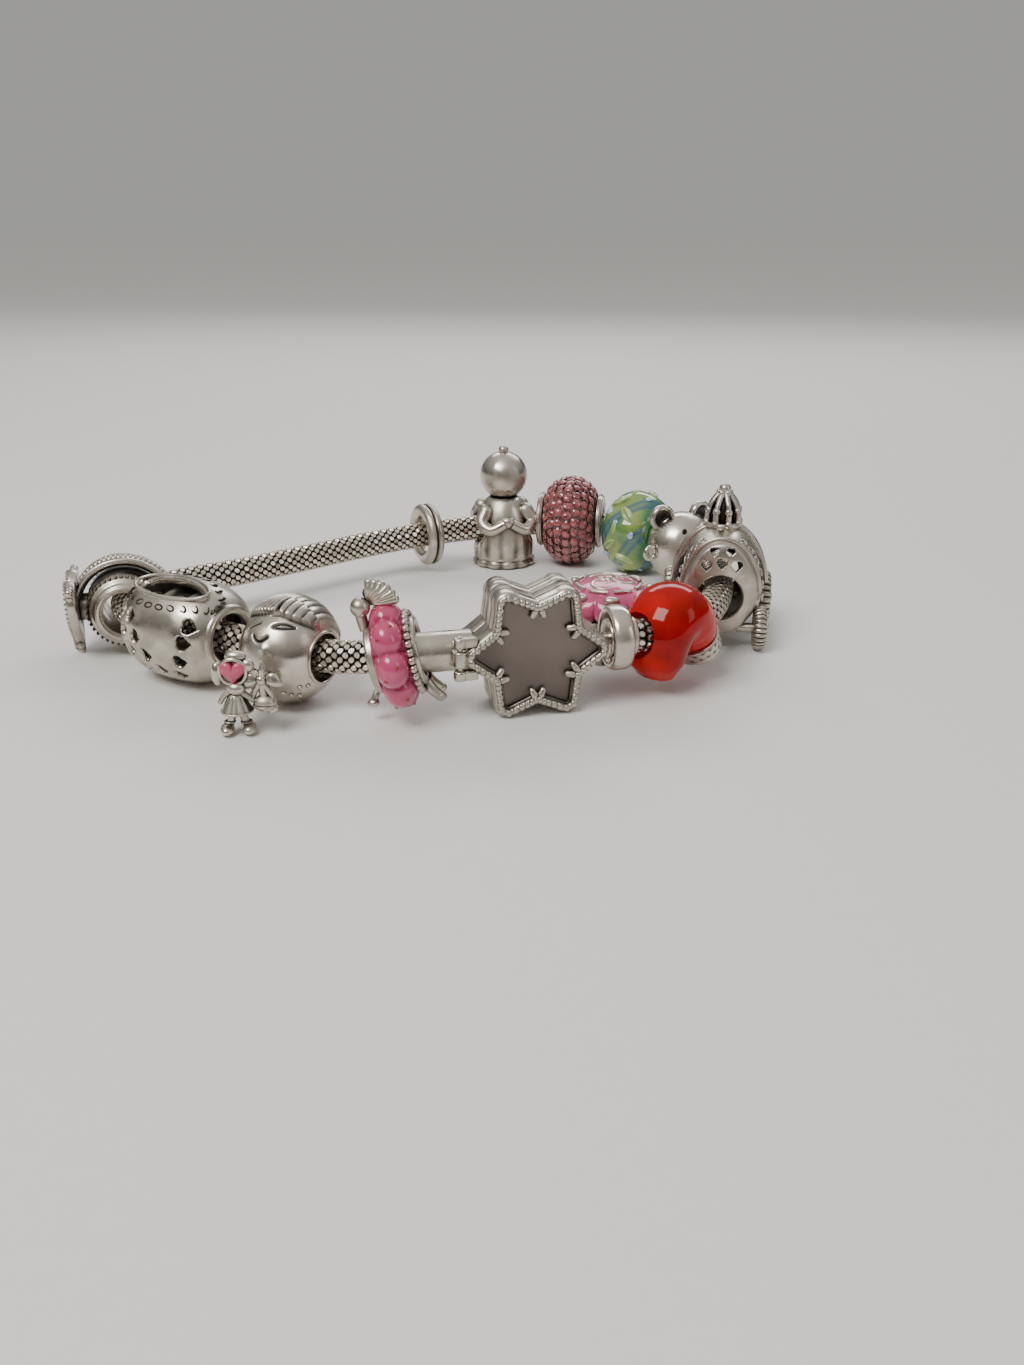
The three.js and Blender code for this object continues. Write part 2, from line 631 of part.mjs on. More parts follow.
// Green glass bead with raised drops round its middle
function greenPiece(station) {
  const group = frameAt(station);
  const h = green.length / 2;
  const r = green.diameter / 2;
  const body = turned('x', [[-h, 0], [-h, r * 0.62], [-h * 0.8, r * 0.82], [-h * 0.35, r * 0.97],
    [h * 0.35, r * 0.97], [h * 0.8, r * 0.82], [h, r * 0.62], [h, 0]], 20);
  const parts = [body];
  for (let k = 0; k < green.bumps; k++) {
    const angle = (2 * Math.PI * (k + 0.25)) / green.bumps;
    const reach = r * 0.74;
    const [y, z] = [reach * Math.cos(angle), reach * Math.sin(angle)];
    parts.push(egg(0, y, z, green.bump * 0.55, r * 0.28, r * 0.28, 10));
  }
  const bead = cut(join(parts), [boreIn(group, station, green.length)]);
  group.add(meshOf('green_bead', bead, enamel(0xa0bf5c)));
  return group;
}

// Bead set all over with small stones, on a silver core with a flange at each end
function pavePieces(station) {
  const group = frameAt(station, 0.25);
  const h = pave.length / 2;
  const r = pave.diameter / 2;
  const seat = h - pave.flangeLength - pieceGap;
  const coreRadius = boreRadius + pave.coreWall;
  const body = turned('x', [[-seat, 0], [-seat, r * 0.66], [-seat * 0.8, r * 0.86], [-seat * 0.4, r * 0.98],
    [0, r], [seat * 0.4, r * 0.98], [seat * 0.8, r * 0.86], [seat, r * 0.66], [seat, 0]], 24);
  const hole = rod([-h, 0, 0], [h, 0, 0], coreRadius + pieceGap, 20);
  const flange = pave.flange / 2;
  const inner = seat + pieceGap;
  const core = turned('x', [[-h, 0], [-h, flange - 0.4], [-h + 0.4, flange], [-inner, flange],
    [-inner, coreRadius], [inner, coreRadius], [inner, flange], [h - 0.4, flange], [h, flange - 0.4],
    [h, 0]], 20);
  const bore = boreIn(group, station, pave.length);
  group.add(meshOf('pave_body', cut(solidOf(body), [hole]), enamel(0x96505c)));
  group.add(meshOf('pave_core', cut(solidOf(core), [bore]), silver()));
  return group;
}

// Small bell-shaped figure with a ball head
function bellPiece(station) {
  const group = frameAt(station);
  const base = bell.base / 2;
  const waist = bell.waist / 2;
  const head = bell.head / 2;
  const bottom = Math.max(-bell.drop, -group.position.z);
  const top = bell.headRise - head * 0.8;
  const skirt = turned('z', [[bottom, 0], [bottom, base * 0.92], [bottom + 0.5, base],
    [bottom + 1.6, base * 0.97], [-0.4, base * 0.86], [1.4, waist * 1.25], [top, waist], [top, 0]], 16);
  const arms = [-1, 1].map((side) => egg(side * 1.7, base * 0.78, 0.2, 0.9, 0.8, 1.3, 8));
  const parts = [skirt, ball(0, 0, bell.headRise, head, 14), ...arms];
  parts.push(ball(0, 0, bell.headRise + head + bell.knot * 0.25, bell.knot / 2, 8));
  const bore = boreIn(group, station, bell.base);
  group.add(meshOf('bell_figure', cut(join(parts), [bore]), silver()));
  return group;
}

// Ring bead with rounded enamel lobes on a silver core, a ribbed fan above and a forked foot below
function lobedPieces(station) {
  const group = frameAt(station);
  const lean = new THREE.Matrix4().makeRotationY(THREE.MathUtils.degToRad(lobed.tilt));
  const radius = lobed.diameter / 2;
  const lobe = radius * Math.sin(Math.PI / lobed.lobes) * 0.98;
  const middle = radius - lobe;
  const coreRadius = boreRadius + 0.95;
  const half = lobed.lobeLength / 2;
  const inner = middle + 0.2;
  const hubX = half * 0.8;
  const parts = [turned('x', [[-hubX, 0], [-hubX, inner], [hubX, inner], [hubX, 0]], 16)];
  for (let k = 0; k < lobed.lobes; k++) {
    const angle = (2 * Math.PI * k) / lobed.lobes;
    parts.push(egg(0, middle * Math.cos(angle), middle * Math.sin(angle), half, lobe, lobe, 8));
  }
  const h = lobed.length / 2;
  const hole = rod([-h, 0, 0], [h, 0, 0], coreRadius + pieceGap, 18);
  const enamelRing = cut(join(parts), [hole]);
  const tube = turned('x', [[-h - 0.5, 0], [-h - 0.5, coreRadius - 0.2], [-h, coreRadius], [h, coreRadius],
    [h + 0.7, coreRadius - 0.2], [h + 0.7, 0]], 18);
  const coreParts = [tube.applyMatrix4(lean)];
  const fanZ = radius + 0.5;
  const post = -half - pieceGap - 0.55;
  coreParts.push(rod([post, 0, coreRadius - 0.3], [post, 0, fanZ + 0.4], 0.55, 8).applyMatrix4(lean));
  for (let k = 0; k < 3; k++) {
    const spread = (k - 1) * 0.9;
    const tip = egg(-half - 0.6 + k * 0.8, spread * 0.3, fanZ + 0.6, 0.65, lobed.fan * 0.32, 0.75, 8);
    coreParts.push(tip.applyMatrix4(lean));
  }
  for (const side of [-1, 1]) {
    const foot = rod([half + 0.72, side * 0.7, -coreRadius + 0.2], [half + 1.5, side, -radius + 0.9], 0.58, 6);
    coreParts.push(foot.applyMatrix4(lean));
  }
  const bore = boreIn(group, station, lobed.length + 2, boreRadius + 0.15);
  const mesh = meshOf('lobed_ring', enamelRing, enamel(0xc8467a));
  mesh.geometry.applyMatrix4(lean);
  group.add(mesh);
  group.add(meshOf('lobed_core', cut(join(coreParts), [bore]), silver()));
  return group;
}

// Round bead with a plain sleeping face under a parted cap of hair
function facePiece(station) {
  const group = frameAt(station);
  const r = face.diameter / 2;
  const l = face.length / 2;
  const head = egg(0, 0, 0, l, r, r, 16);
  const parts = [head];
  const [lipX, lipRadius] = [l * 0.94, boreRadius + 0.6];
  const lip = turned('x', [[-lipX, 0], [-lipX, lipRadius], [lipX, lipRadius], [lipX, 0]], 18);
  parts.push(lip);
  const hair = egg(0, 0, 0, l + face.hairRise * 0.6, r + face.hairRise, r + face.hairRise, 16);
  const bare = box(-r * 2, r * 2, -r * 2, r * 2, -r * 2, face.hairline * r);
  const parting = box(face.partingX, face.partingX + 0.7, -r * 2, -0.6, 0, r * 2);
  const lean = THREE.MathUtils.degToRad(face.hairLean);
  const cap = solidOf(hair).subtract(join([bare.rotateX(-lean), parting]));
  const bore = boreIn(group, station, face.length + 2);
  const z = doll.eyeHeight - group.position.z;
  const reach = r * 0.98 + doll.eye / 2 - doll.eyeWire;
  const low = new THREE.Vector3(face.hookX, -Math.sqrt(reach * reach - z * z - face.hookX ** 2), z);
  parts.push(eyelet(...low, doll, -Math.PI / 2));
  group.add(meshOf('face_bead', cut(join(parts).add(cap), [bore]), silver()));
  return { group, hook: low.applyMatrix4(group.matrix) };
}

// Hollow cushion bead, pierced by small hearts and a long window in its top
function cushion(length, radius, offset, sides) {
  const h = length / 2 - offset;
  const r = radius - offset;
  return turned('x', [[-h, 0], [-h, r * 0.52], [-h * 0.86, r * 0.76], [-h * 0.55, r * 0.94], [-h * 0.2, r],
    [h * 0.2, r], [h * 0.55, r * 0.94], [h * 0.86, r * 0.76], [h, r * 0.52], [h, 0]], sides);
}

function piercedPiece(station) {
  const group = frameAt(station);
  const r = pierced.diameter / 2;
  const hollow = solidOf(cushion(pierced.length, r, pierced.wall, 12));
  const shell = solidOf(cushion(pierced.length, r, 0, 18)).subtract(hollow);
  const tools = [];
  // degrees down from the top, place along as a share of half length
  const turns = [[20, -0.62], [45, -0.4], [70, -0.62], [95, -0.4], [120, -0.62], [20, -0.12], [70, -0.12],
    [95, 0.2]];
  for (const [down, along] of turns) {
    for (const side of [-1, 1]) {
      const angle = THREE.MathUtils.degToRad(down);
      const x = along * pierced.length / 2;
      const [y, z] = [side * Math.sin(angle), Math.cos(angle)];
      if (z > 0.6) continue;
      tools.push(rod([x, y * (r - 2.4), z * (r - 2.4)], [x, y * (r + 1), z * (r + 1)], pierced.hole / 2, 5));
    }
  }
  const window = egg(0, -r * 0.1, r, pierced.windowLength / 2, pierced.windowWidth / 2, 2.2, 12);
  tools.push(window);
  const lips = [-1, 1].map((side) => {
    const x = side * (pierced.length / 2 - 0.35);
    return ringAbout('x', x, 0, 0, boreRadius + pierced.lip + 0.2, pierced.lip, 12, 5);
  });
  const bore = boreIn(group, station, pierced.length + 1, boreRadius + 0.15);
  group.add(meshOf('pierced_bead', cut(cut(shell, tools).add(join(lips)), [bore]), silver()));
  return group;
}

// Barrel bead with a framed heart plate on its outer side and a band over its top
function framedPiece(station) {
  const group = frameAt(station);
  const r = framed.diameter / 2;
  const h = framed.length / 2;
  const body = turned('x', [[-h, 0], [-h, r * 0.78], [-h * 0.6, r * 0.96], [0, r], [h * 0.6, r * 0.96],
    [h, r * 0.78], [h, 0]], 20);
  const out = framed.plateOut;
  const plate = plateAlongY(heartOutline(framed.plate, 0, 0.1, 16), -out - framed.plateThick, -out);
  const parts = [body, plate];
  parts.push(rod([0, -r + 0.8, 0], [0, -out - 0.4, 0], 1.3, 8));
  const bandRadius = out + framed.bandThick / 2;
  const w = framed.bandWidth / 2;
  const band = turned('x', [[-w, 0], [-w, bandRadius], [w, bandRadius], [w, 0]], 24);
  const innerRadius = bandRadius - framed.bandThick;
  const inner = turned('x', [[-w - 1, 0], [-w - 1, innerRadius], [w + 1, innerRadius], [w + 1, 0]], 24);
  const lower = box(-9, 9, -9, 9, -9, 0.4);
  const arch = solidOf(band).subtract(join([inner, lower]));
  const postEnd = bandRadius - 0.2;
  const posts = [-1, 1].map((side) => rod([0, side * (r - 0.8), 0.7], [0, side * postEnd, 0.7], 0.7, 8));
  for (const [x, z] of [[-0.46, 0.3], [0.46, 0.3], [0, -0.46]]) {
    parts.push(ball(x * framed.plate, -out - framed.plateThick / 2, z * framed.plate, 0.62, 8));
  }
  const bore = boreIn(group, station, framed.length, boreRadius, 14, 6);
  group.add(meshOf('framed_bead', cut(join([...parts, ...posts]).add(arch), [bore]), silver()));
  return group;
}

// An upright eyelet that faces along the given angle, and a lying jump ring whose ends pass through two
function eyelet(x, y, z, size, facing) {
  const wire = size.eyeWire / 2;
  const geometry = new THREE.TorusGeometry(size.eye / 2 - wire, wire, 4, 10);
  return geometry.rotateX(Math.PI / 2).rotateZ(facing).translate(x, y, z);
}

function linkBetween(name, from, to, wire) {
  const radius = from.distanceTo(to) / 2;
  const facing = Math.atan2(to.y - from.y, to.x - from.x);
  const torus = new THREE.TorusGeometry(radius, wire / 2, 5, 16).scale(1, linkNarrowing, 1).rotateZ(facing);
  const link = meshOf(name, solidOf(torus), silver());
  link.position.copy(from).add(to).multiplyScalar(0.5);
  return link;
}

// Small doll: two feet, a skirt, an arm held out, a body and a heart of enamel between silver petals
function dollPieces() {
  const group = new THREE.Group();
  group.position.set(doll.x, doll.y, 0);
  const h = doll.height;
  const r = doll.skirt / 2;
  const f = doll.foot / 2;
  const parts = [
    egg(-f * 1.15, -0.2, f * 0.75, f, f * 1.1, f * 0.75, 8),
    egg(f * 1.25, -0.2, f * 0.75, f * 1.1, f * 1.1, f * 0.75, 8),
    rod([-f * 0.6, 0, f * 0.8], [-0.3, 0, h * 0.34], 0.3, 5),
    rod([f * 0.8, 0, f * 0.8], [0.3, 0, h * 0.34], 0.3, 5),
    turned('z', [[h * 0.28, 0], [h * 0.28, r], [h * 0.33, r], [h * 0.5, r * 0.42], [h * 0.5, 0]], 10),
    rod([0.3, 0, h * 0.4], [doll.arm + 0.4, 0.2, h * 0.3], 0.28, 6),
    ball(doll.arm + 0.5, 0.2, h * 0.3, 0.5, 6),
    egg(0.15, -0.1, h * 0.56, r * 0.62, r * 0.55, h * 0.1, 10),
    egg(-r * 1.15, 0.1, h * 0.73, 0.5, 0.45, h * 0.13, 6),
    egg(r * 0.95, 0.1, h * 0.82, 0.55, 0.45, h * 0.08, 6),
    egg(r * 0.9, 0.2, h * 0.66, 0.42, 0.4, 0.42, 6),
    egg(0.2, 0.3, h * 0.93, r * 0.7, 0.45, h * 0.07, 6),
    egg(0, 0.45, h * 0.76, r * 0.95, 0.42, h * 0.15, 10),
  ];
  const heart = egg(0, -0.35, h * 0.77, doll.heart / 2, 0.42, doll.heart * 0.5, 10);
  const seat = egg(0, -0.35, h * 0.77, doll.heart / 2 + pieceGap, 0.42 + pieceGap,
    doll.heart * 0.5 + pieceGap, 10);
  const eye = [0, r * 0.5 + doll.eye / 2, doll.eyeHeight];
  parts.push(eyelet(...eye, doll, Math.PI / 2), ...ribbonParts());
  group.add(meshOf('doll_drop', cut(join(parts), [seat]), silver()));
  group.add(meshOf('doll_heart', solidOf(heart), enamel(0xc8467a)));
  return { group, hook: new THREE.Vector3(...eye).add(group.position) };
}

function ribbonParts() {
  const w = doll.ribbonWidth / 2;
  const parts = [
    egg(0, 0, 0.35, w * 0.55, 0.6, w * 0.5, 8),
    egg(-w * 0.6, 0, 0.1, w * 0.55, 0.5, w * 0.4, 8),
    egg(w * 0.6, 0, 0.1, w * 0.5, 0.5, w * 0.46, 8),
    rod([0, 0, 0.6], [0.1, 0, w + 0.15], 0.3, 5),
    rod([0, 0, 0.2], [0, 0, -1.2], 0.42, 5),
    egg(0.15, -0.1, -1.75, doll.ribbonDome / 2, 0.75, doll.ribbonDome * 0.42, 8),
  ];
  return parts.map((part) => part.translate(doll.ribbonX, 0, doll.ribbonZ));
}

// Iced cake: a pleated silver cup, a scalloped enamel icing and the ring that ties it to the chain
function cakePieces(hook) {
  const group = new THREE.Group();
  group.position.set(cake.x, cake.y, 0);
  const foot = cake.cupFoot / 2;
  const rim = cake.cupTop / 2;
  const cup = lobedBody([[0, foot, 0.06], [cake.cupHeight, rim, 0.1]], cake.pleats, 1);
  const low = cake.cupHeight + pieceGap;
  const top = cake.topDiameter / 2;
  const icing = lobedBody([[low, top * 0.86, 0.08], [low + cake.icingHeight * 0.3, top, 0.12],
    [low + cake.icingHeight * 0.62, top * 0.95, 0.12], [low + cake.icingHeight * 0.86, top * 0.74, 0.08],
    [low + cake.icingHeight, top * 0.36, 0]], cake.lobes, 2);
  const slope = foot + (rim - foot) * (cake.eyeHeight / cake.cupHeight);
  const towards = new THREE.Vector2(hook.x - cake.x, hook.y - cake.y).normalize();
  const reach = slope + cake.eye / 2 - cake.eyeWire;
  const eye = eyelet(reach * towards.x, reach * towards.y, cake.eyeHeight, cake, towards.angle());
  group.add(meshOf('cake_cup', join([cup, eye]), silver(0x8f877c)));
  group.add(meshOf('cake_icing', solidOf(icing), enamel(0xd76aa4)));
  const far = new THREE.Vector3(reach * towards.x, reach * towards.y, cake.eyeHeight).add(group.position);
  const tied = new THREE.Group();
  tied.add(group, linkBetween('cake_ring', hook, far, cake.ringWire));
  return tied;
}

// The bracelet
function strungCharms() {
  const group = new THREE.Group();
  let right = clasp.tipReach;
  const next = (size, length = size.length) => {
    const station = right + size.bareBefore + length / 2;
    right = station + length / 2;
    return station;
  };
  const stopperRing = stopperPiece(next(stopper));
  group.add(stopperRing.group, cakePieces(stopperRing.hook));
  group.add(stockingPieces(next(stocking)));
  group.add(coachPiece(next(coach)));
  group.add(bearPiece(next(bear)));
  group.add(greenPiece(next(green)));
  group.add(pavePieces(next(pave)));
  group.add(bellPiece(next(bell, bell.base)));
  group.add(ringPiece('spacer_ring', next(spacer), spacer));
  let left = barrelEnd - clasp.barrelInBead;
  const nextLeft = (size, length = size.length) => {
    const station = left + size.bareBefore + length / 2;
    left = station + length / 2;
    return pathLength - station;
  };
  group.add(lobedPieces(nextLeft(lobed)));
  const sleeper = facePiece(nextLeft(face));
  const figure = dollPieces();
  group.add(sleeper.group, figure.group, linkBetween('drop_ring', sleeper.hook, figure.hook, doll.ringWire));
  group.add(piercedPiece(nextLeft(pierced)));
  group.add(framedPiece(nextLeft(framed)));
  return group;
}

const bracelet = new THREE.Group();
bracelet.add(chainPiece(), claspPieces(), strungCharms());
const extent = new THREE.Box3().setFromObject(bracelet, true);
const middle = extent.getCenter(new THREE.Vector3());
bracelet.position.set(-middle.x, -middle.y, -extent.min.z);
const whole = new THREE.Group();
whole.add(bracelet);

export default whole;
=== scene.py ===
# Charm bracelet: a woven silver chain with cast, enamel and glass charms, closed by a star clasp.
import math
import bpy
import numpy as np
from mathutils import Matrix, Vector


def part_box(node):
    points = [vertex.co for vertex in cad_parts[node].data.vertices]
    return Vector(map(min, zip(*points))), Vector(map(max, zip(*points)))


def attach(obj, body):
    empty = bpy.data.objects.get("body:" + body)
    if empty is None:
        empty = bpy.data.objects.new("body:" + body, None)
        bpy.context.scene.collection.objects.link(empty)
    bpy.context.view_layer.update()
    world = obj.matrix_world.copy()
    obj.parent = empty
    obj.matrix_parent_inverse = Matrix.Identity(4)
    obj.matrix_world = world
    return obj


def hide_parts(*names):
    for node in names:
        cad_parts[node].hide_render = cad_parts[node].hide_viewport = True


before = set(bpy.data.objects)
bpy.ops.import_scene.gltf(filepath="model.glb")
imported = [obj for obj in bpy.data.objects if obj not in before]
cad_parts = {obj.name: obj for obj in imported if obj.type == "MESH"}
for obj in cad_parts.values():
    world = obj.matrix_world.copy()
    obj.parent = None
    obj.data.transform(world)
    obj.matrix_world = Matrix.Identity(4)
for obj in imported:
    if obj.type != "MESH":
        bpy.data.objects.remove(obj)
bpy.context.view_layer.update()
print("frame loaded")

metre = 0.001  # every length below is in millimetres
sharpAngle = math.radians(48)  # edges sharper than this are shaded as edges


# Meshes.

# Faces of a grid of rows by cols points, wrapped round where asked; a triangle's fourth corner is -1.
def gridFaces(rows, cols, wrapRows, wrapCols):
    i = np.arange(rows if wrapRows else rows - 1)[:, None]
    j = np.arange(cols if wrapCols else cols - 1)[None, :]
    nextRow, nextCol = (i + 1) % rows, (j + 1) % cols
    corners = (i * cols + j, i * cols + nextCol, nextRow * cols + nextCol, nextRow * cols + j)
    return np.stack(np.broadcast_arrays(*corners), -1).reshape(-1, 4)


# Six times the volume inside the faces: corner one dotted with the cross product of the next two, summed.
def volumeOf(points, faces):
    a, b, c = points[faces[:, 0]], points[faces[:, 1]], points[faces[:, 2]]
    total = np.einsum("ij,ij->", a, np.cross(b, c))
    quads = faces[faces[:, 3] >= 0]
    return total + np.einsum("ij,ij->", points[quads[:, 0]],
                             np.cross(points[quads[:, 2]], points[quads[:, 3]]))


def turnOutwards(faces, points):
    if volumeOf(points - points.mean(0), faces) >= 0:
        return faces
    flipped = faces[:, ::-1].copy()
    triangles = faces[:, 3] < 0
    flipped[triangles] = np.column_stack([faces[triangles][:, 2::-1], faces[triangles][:, 3]])
    return flipped


# A part is a grid of points made into a surface, with a cap over its first or last row where asked.
def part(grid, wrapRows=False, wrapCols=True, caps=True, recess=0.0, tint=0.0, slot=0, smooth=True):
    rows, cols = grid.shape[:2]
    points = grid.reshape(-1, 3)
    faces = gridFaces(rows, cols, wrapRows, wrapCols)
    marks = [np.broadcast_to(value, (rows, cols)).reshape(-1) for value in (recess, tint)]
    if caps and wrapCols and not wrapRows:
        ring = np.arange(cols)
        following = (ring + 1) % cols
        nothing = np.full(cols, -1)
        start, end = len(points), len(points) + 1
        last = (rows - 1) * cols
        faces = np.vstack([faces, np.column_stack([following, ring, np.full(cols, start), nothing]),
                           np.column_stack([last + ring, last + following, np.full(cols, end), nothing])])
        points = np.vstack([points, grid[0].mean(0), grid[-1].mean(0)])
        marks = [np.append(mark, [mark[0], mark[-1]]) for mark in marks]
    return dict(points=points, faces=turnOutwards(faces, points), recess=marks[0], tint=marks[1], slot=slot,
                smooth=smooth)


# One copy of a part at each place: each place is an origin and three axes, as a 4 by 3 array.
def scattered(piece, places):
    places = np.asarray(places, float)
    count, size = len(places), len(piece["points"])
    points = np.einsum("pk,nkj->npj", piece["points"], places[:, 1:]) + places[:, None, 0]
    offsets = (np.arange(count) * size)[:, None, None]
    faces = np.where(piece["faces"][None] < 0, -1, piece["faces"][None] + offsets).reshape(-1, 4)
    return dict(piece, points=points.reshape(-1, 3), faces=faces,
                recess=np.tile(piece["recess"], count), tint=np.tile(piece["tint"], count))


def moved(parts, origin, axes=((1, 0, 0), (0, 1, 0), (0, 0, 1))):
    axes = np.asarray(axes, float)
    return [dict(p, points=p["points"] @ axes + np.asarray(origin, float)) for p in parts]


def turnedAbout(axis, degrees, parts):
    c, s = math.cos(math.radians(degrees)), math.sin(math.radians(degrees))
    rows = {"x": ((1, 0, 0), (0, c, s), (0, -s, c)), "y": ((c, 0, -s), (0, 1, 0), (s, 0, c)),
            "z": ((c, s, 0), (-s, c, 0), (0, 0, 1))}
    return moved(parts, (0, 0, 0), rows[axis])


def newObject(name, data):
    made = bpy.data.objects.new(name, data)
    bpy.context.scene.collection.objects.link(made)
    return made


def meshFrom(name, parts):
    starts = np.cumsum([0] + [len(p["points"]) for p in parts[:-1]])
    points = np.vstack([p["points"] for p in parts]) * metre
    faces = np.vstack([np.where(p["faces"] < 0, -1, p["faces"] + start) for p, start in zip(parts, starts)])
    totals = (faces >= 0).sum(1)
    corners = faces[faces >= 0]
    mesh = bpy.data.meshes.new(name)
    mesh.vertices.add(len(points))
    mesh.vertices.foreach_set("co", points.ravel())
    mesh.loops.add(len(corners))
    mesh.loops.foreach_set("vertex_index", corners)
    mesh.polygons.add(len(faces))
    mesh.polygons.foreach_set("loop_start", np.concatenate([[0], np.cumsum(totals)[:-1]]))
    mesh.polygons.foreach_set("loop_total", totals)
    mesh.update()
    for label, key in (("material_index", "slot"), ("use_smooth", "smooth")):
        mesh.polygons.foreach_set(label, np.concatenate([np.full(len(p["faces"]), p[key]) for p in parts]))
    for label in ("recess", "tint"):
        values = np.concatenate([p[label] for p in parts])
        mesh.attributes.new(label, "FLOAT", "POINT").data.foreach_set("value", values)
    mesh.set_sharp_from_angle(angle=sharpAngle)
    mesh.validate()
    return mesh


def makePiece(name, parts, materials, nodes=(), body="bracelet"):
    piece = newObject(name, meshFrom(name, parts))
    for material in materials:
        piece.data.materials.append(material)
    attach(piece, body)
    if nodes:
        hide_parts(*nodes)
    return piece


# Basic surfaces.

def around(count, start=0.0):
    return start + np.linspace(0, 2 * np.pi, count, endpoint=False)


# Points at a radius and a turn about an axis; about x, turn 0 is up and a quarter turn is outwards.
def about(axis, along, radius, turn):
    c, s = radius * np.cos(turn), radius * np.sin(turn)
    rows = {"x": (along, -s, c), "y": (c, along, s), "z": (c, s, along)}[axis]
    return np.stack(np.broadcast_arrays(*rows), -1)


def signedPower(value, power):
    return np.sign(value) * np.abs(value) ** power


# Superellipsoid: each axis is its radius times a power of the sines and cosines; power 1 is an egg and 0.3
# a block.
def ovoid(centre, radii, count=20, power=1.0, **marks):
    down = np.linspace(0, np.pi, count // 2 + 1)[1:-1][:, None]
    turn = around(count)[None, :]
    ring = signedPower(np.sin(down), power)
    grid = np.stack([ring * signedPower(np.cos(turn), power), ring * signedPower(np.sin(turn), power),
                     signedPower(np.cos(down), power) * np.ones_like(turn)], -1)
    return part(grid * np.asarray(radii, float) + np.asarray(centre, float), **marks)


# Centripetal Catmull-Rom curve through points: its tangents weigh the roots of the distances.
def smoothCurve(points, perStretch=12):
    points = np.asarray(points, float)
    ends = np.vstack([2 * points[0] - points[1], points, 2 * points[-1] - points[-2]])
    step = np.maximum(np.linalg.norm(np.diff(ends, axis=0), axis=1) ** 0.5, 1e-4)[:, None]
    p0, p1, p2, p3 = ends[:-3], ends[1:-2], ends[2:-1], ends[3:]
    d0, d1, d2 = step[:-2], step[1:-1], step[2:]
    t1 = ((p1 - p0) / d0 - (p2 - p0) / (d0 + d1) + (p2 - p1) / d1) * d1
    t2 = ((p2 - p1) / d1 - (p3 - p1) / (d1 + d2) + (p3 - p2) / d2) * d1
    s = np.linspace(0, 1, perStretch, endpoint=False)[None, :, None]
    p1, p2, t1, t2 = (value[:, None] for value in (p1, p2, t1, t2))
    curve = p1 + t1 * s + (3 * (p2 - p1) - 2 * t1 - t2) * s ** 2 + (2 * (p1 - p2) + t1 + t2) * s ** 3
    return np.vstack([curve.reshape(-1, points.shape[1]), points[-1:]])


# Tube: a circle of the given radius carried along a path, square to it.
def tube(path, radius, sides=12, closed=False, **marks):
    path = np.asarray(path, float)
    ahead, behind = (np.roll(path, -1, 0), np.roll(path, 1, 0)) if closed else (
        np.vstack([path[1:], path[-1:]]), np.vstack([path[:1], path[:-1]]))
    along = ahead - behind
    along /= np.linalg.norm(along, axis=1)[:, None]
    reference = np.zeros(3)
    reference[np.argmin(np.abs(along).mean(0))] = 1
    side = np.cross(reference, along)
    side /= np.linalg.norm(side, axis=1)[:, None]
    lift = np.cross(along, side)
    turn = around(sides)[None, :, None]
    reach = np.broadcast_to(radius, len(path))[:, None, None]
    grid = path[:, None] + reach * (np.cos(turn) * side[:, None] + np.sin(turn) * lift[:, None])
    return part(grid, wrapRows=closed, **marks)


# Rounded rod: a tube whose radius falls at both ends as a quarter circle does.
def rod(start, end, radius, endRadius=None, sides=16, rounding=0.35, **marks):
    start, end = np.asarray(start, float), np.asarray(end, float)
    endRadius = radius if endRadius is None else endRadius
    length = np.linalg.norm(end - start)
    cut = min(rounding * max(radius, endRadius), length * 0.45)
    q = np.linspace(0, np.pi / 2, 5)
    place = np.concatenate([cut * (1 - np.cos(q)), length - cut * (1 - np.cos(q[::-1]))])
    shrink = np.concatenate([cut * (1 - np.sin(q)), cut * (1 - np.sin(q[::-1]))])
    reach = radius + (endRadius - radius) * place / length - shrink
    path = start + np.outer(place / length, end - start)
    return tube(path, np.maximum(reach, 0.01), sides, **marks)


# Corners of an outline eased: each is cut back and bridged by a parabola.
def eased(outline, easing, closed=False, steps=4):
    outline = np.asarray(outline, float)
    result = []
    count = len(outline)
    for i, corner in enumerate(outline):
        if not closed and i in (0, count - 1):
            result.append(corner[None])
            continue
        before, after = outline[i - 1], outline[(i + 1) % count]
        a, b = np.linalg.norm(before - corner), np.linalg.norm(after - corner)
        start = corner + (before - corner) * min(easing, a * 0.48) / a
        end = corner + (after - corner) * min(easing, b * 0.48) / b
        s = np.linspace(0, 1, steps)[:, None]
        result.append((1 - s) ** 2 * start + 2 * s * (1 - s) * corner + s ** 2 * end)
    return np.vstack(result)


# Turned form: profile pairs of place along the axis and radius, carried round it; angle 0 is up, and
# the angle grows outwards.
def turned(profile, axis="x", sides=64, closed=False, relief=0.0, **marks):
    profile = np.asarray(profile, float)
    turn = around(sides)[None, :]
    along, radius = profile[:, :1], profile[:, 1:]
    radius = radius + relief
    return part(about(axis, along, radius, turn), wrapRows=closed, **marks)


# Ring: a circle of wire about a centre, in the plane of two given directions.
def ring(centre, radius, wire, first=(1, 0, 0), second=(0, 1, 0), count=48, sides=12, **marks):
    turn = around(count)[:, None]
    first, second = np.asarray(first, float), np.asarray(second, float)
    path = np.asarray(centre, float) + radius * (np.cos(turn) * first + np.sin(turn) * second)
    return tube(path, wire, sides, closed=True, **marks)


# Ring of wire round the chain's line.
def collar(along, radius, wire, count=56, sides=12, **marks):
    return ring((along, 0, 0), radius, wire, (0, 1, 0), (0, 0, 1), count, sides, **marks)


def ball(centre, radius, count=20):
    return ovoid(centre, (radius,) * 3, count)


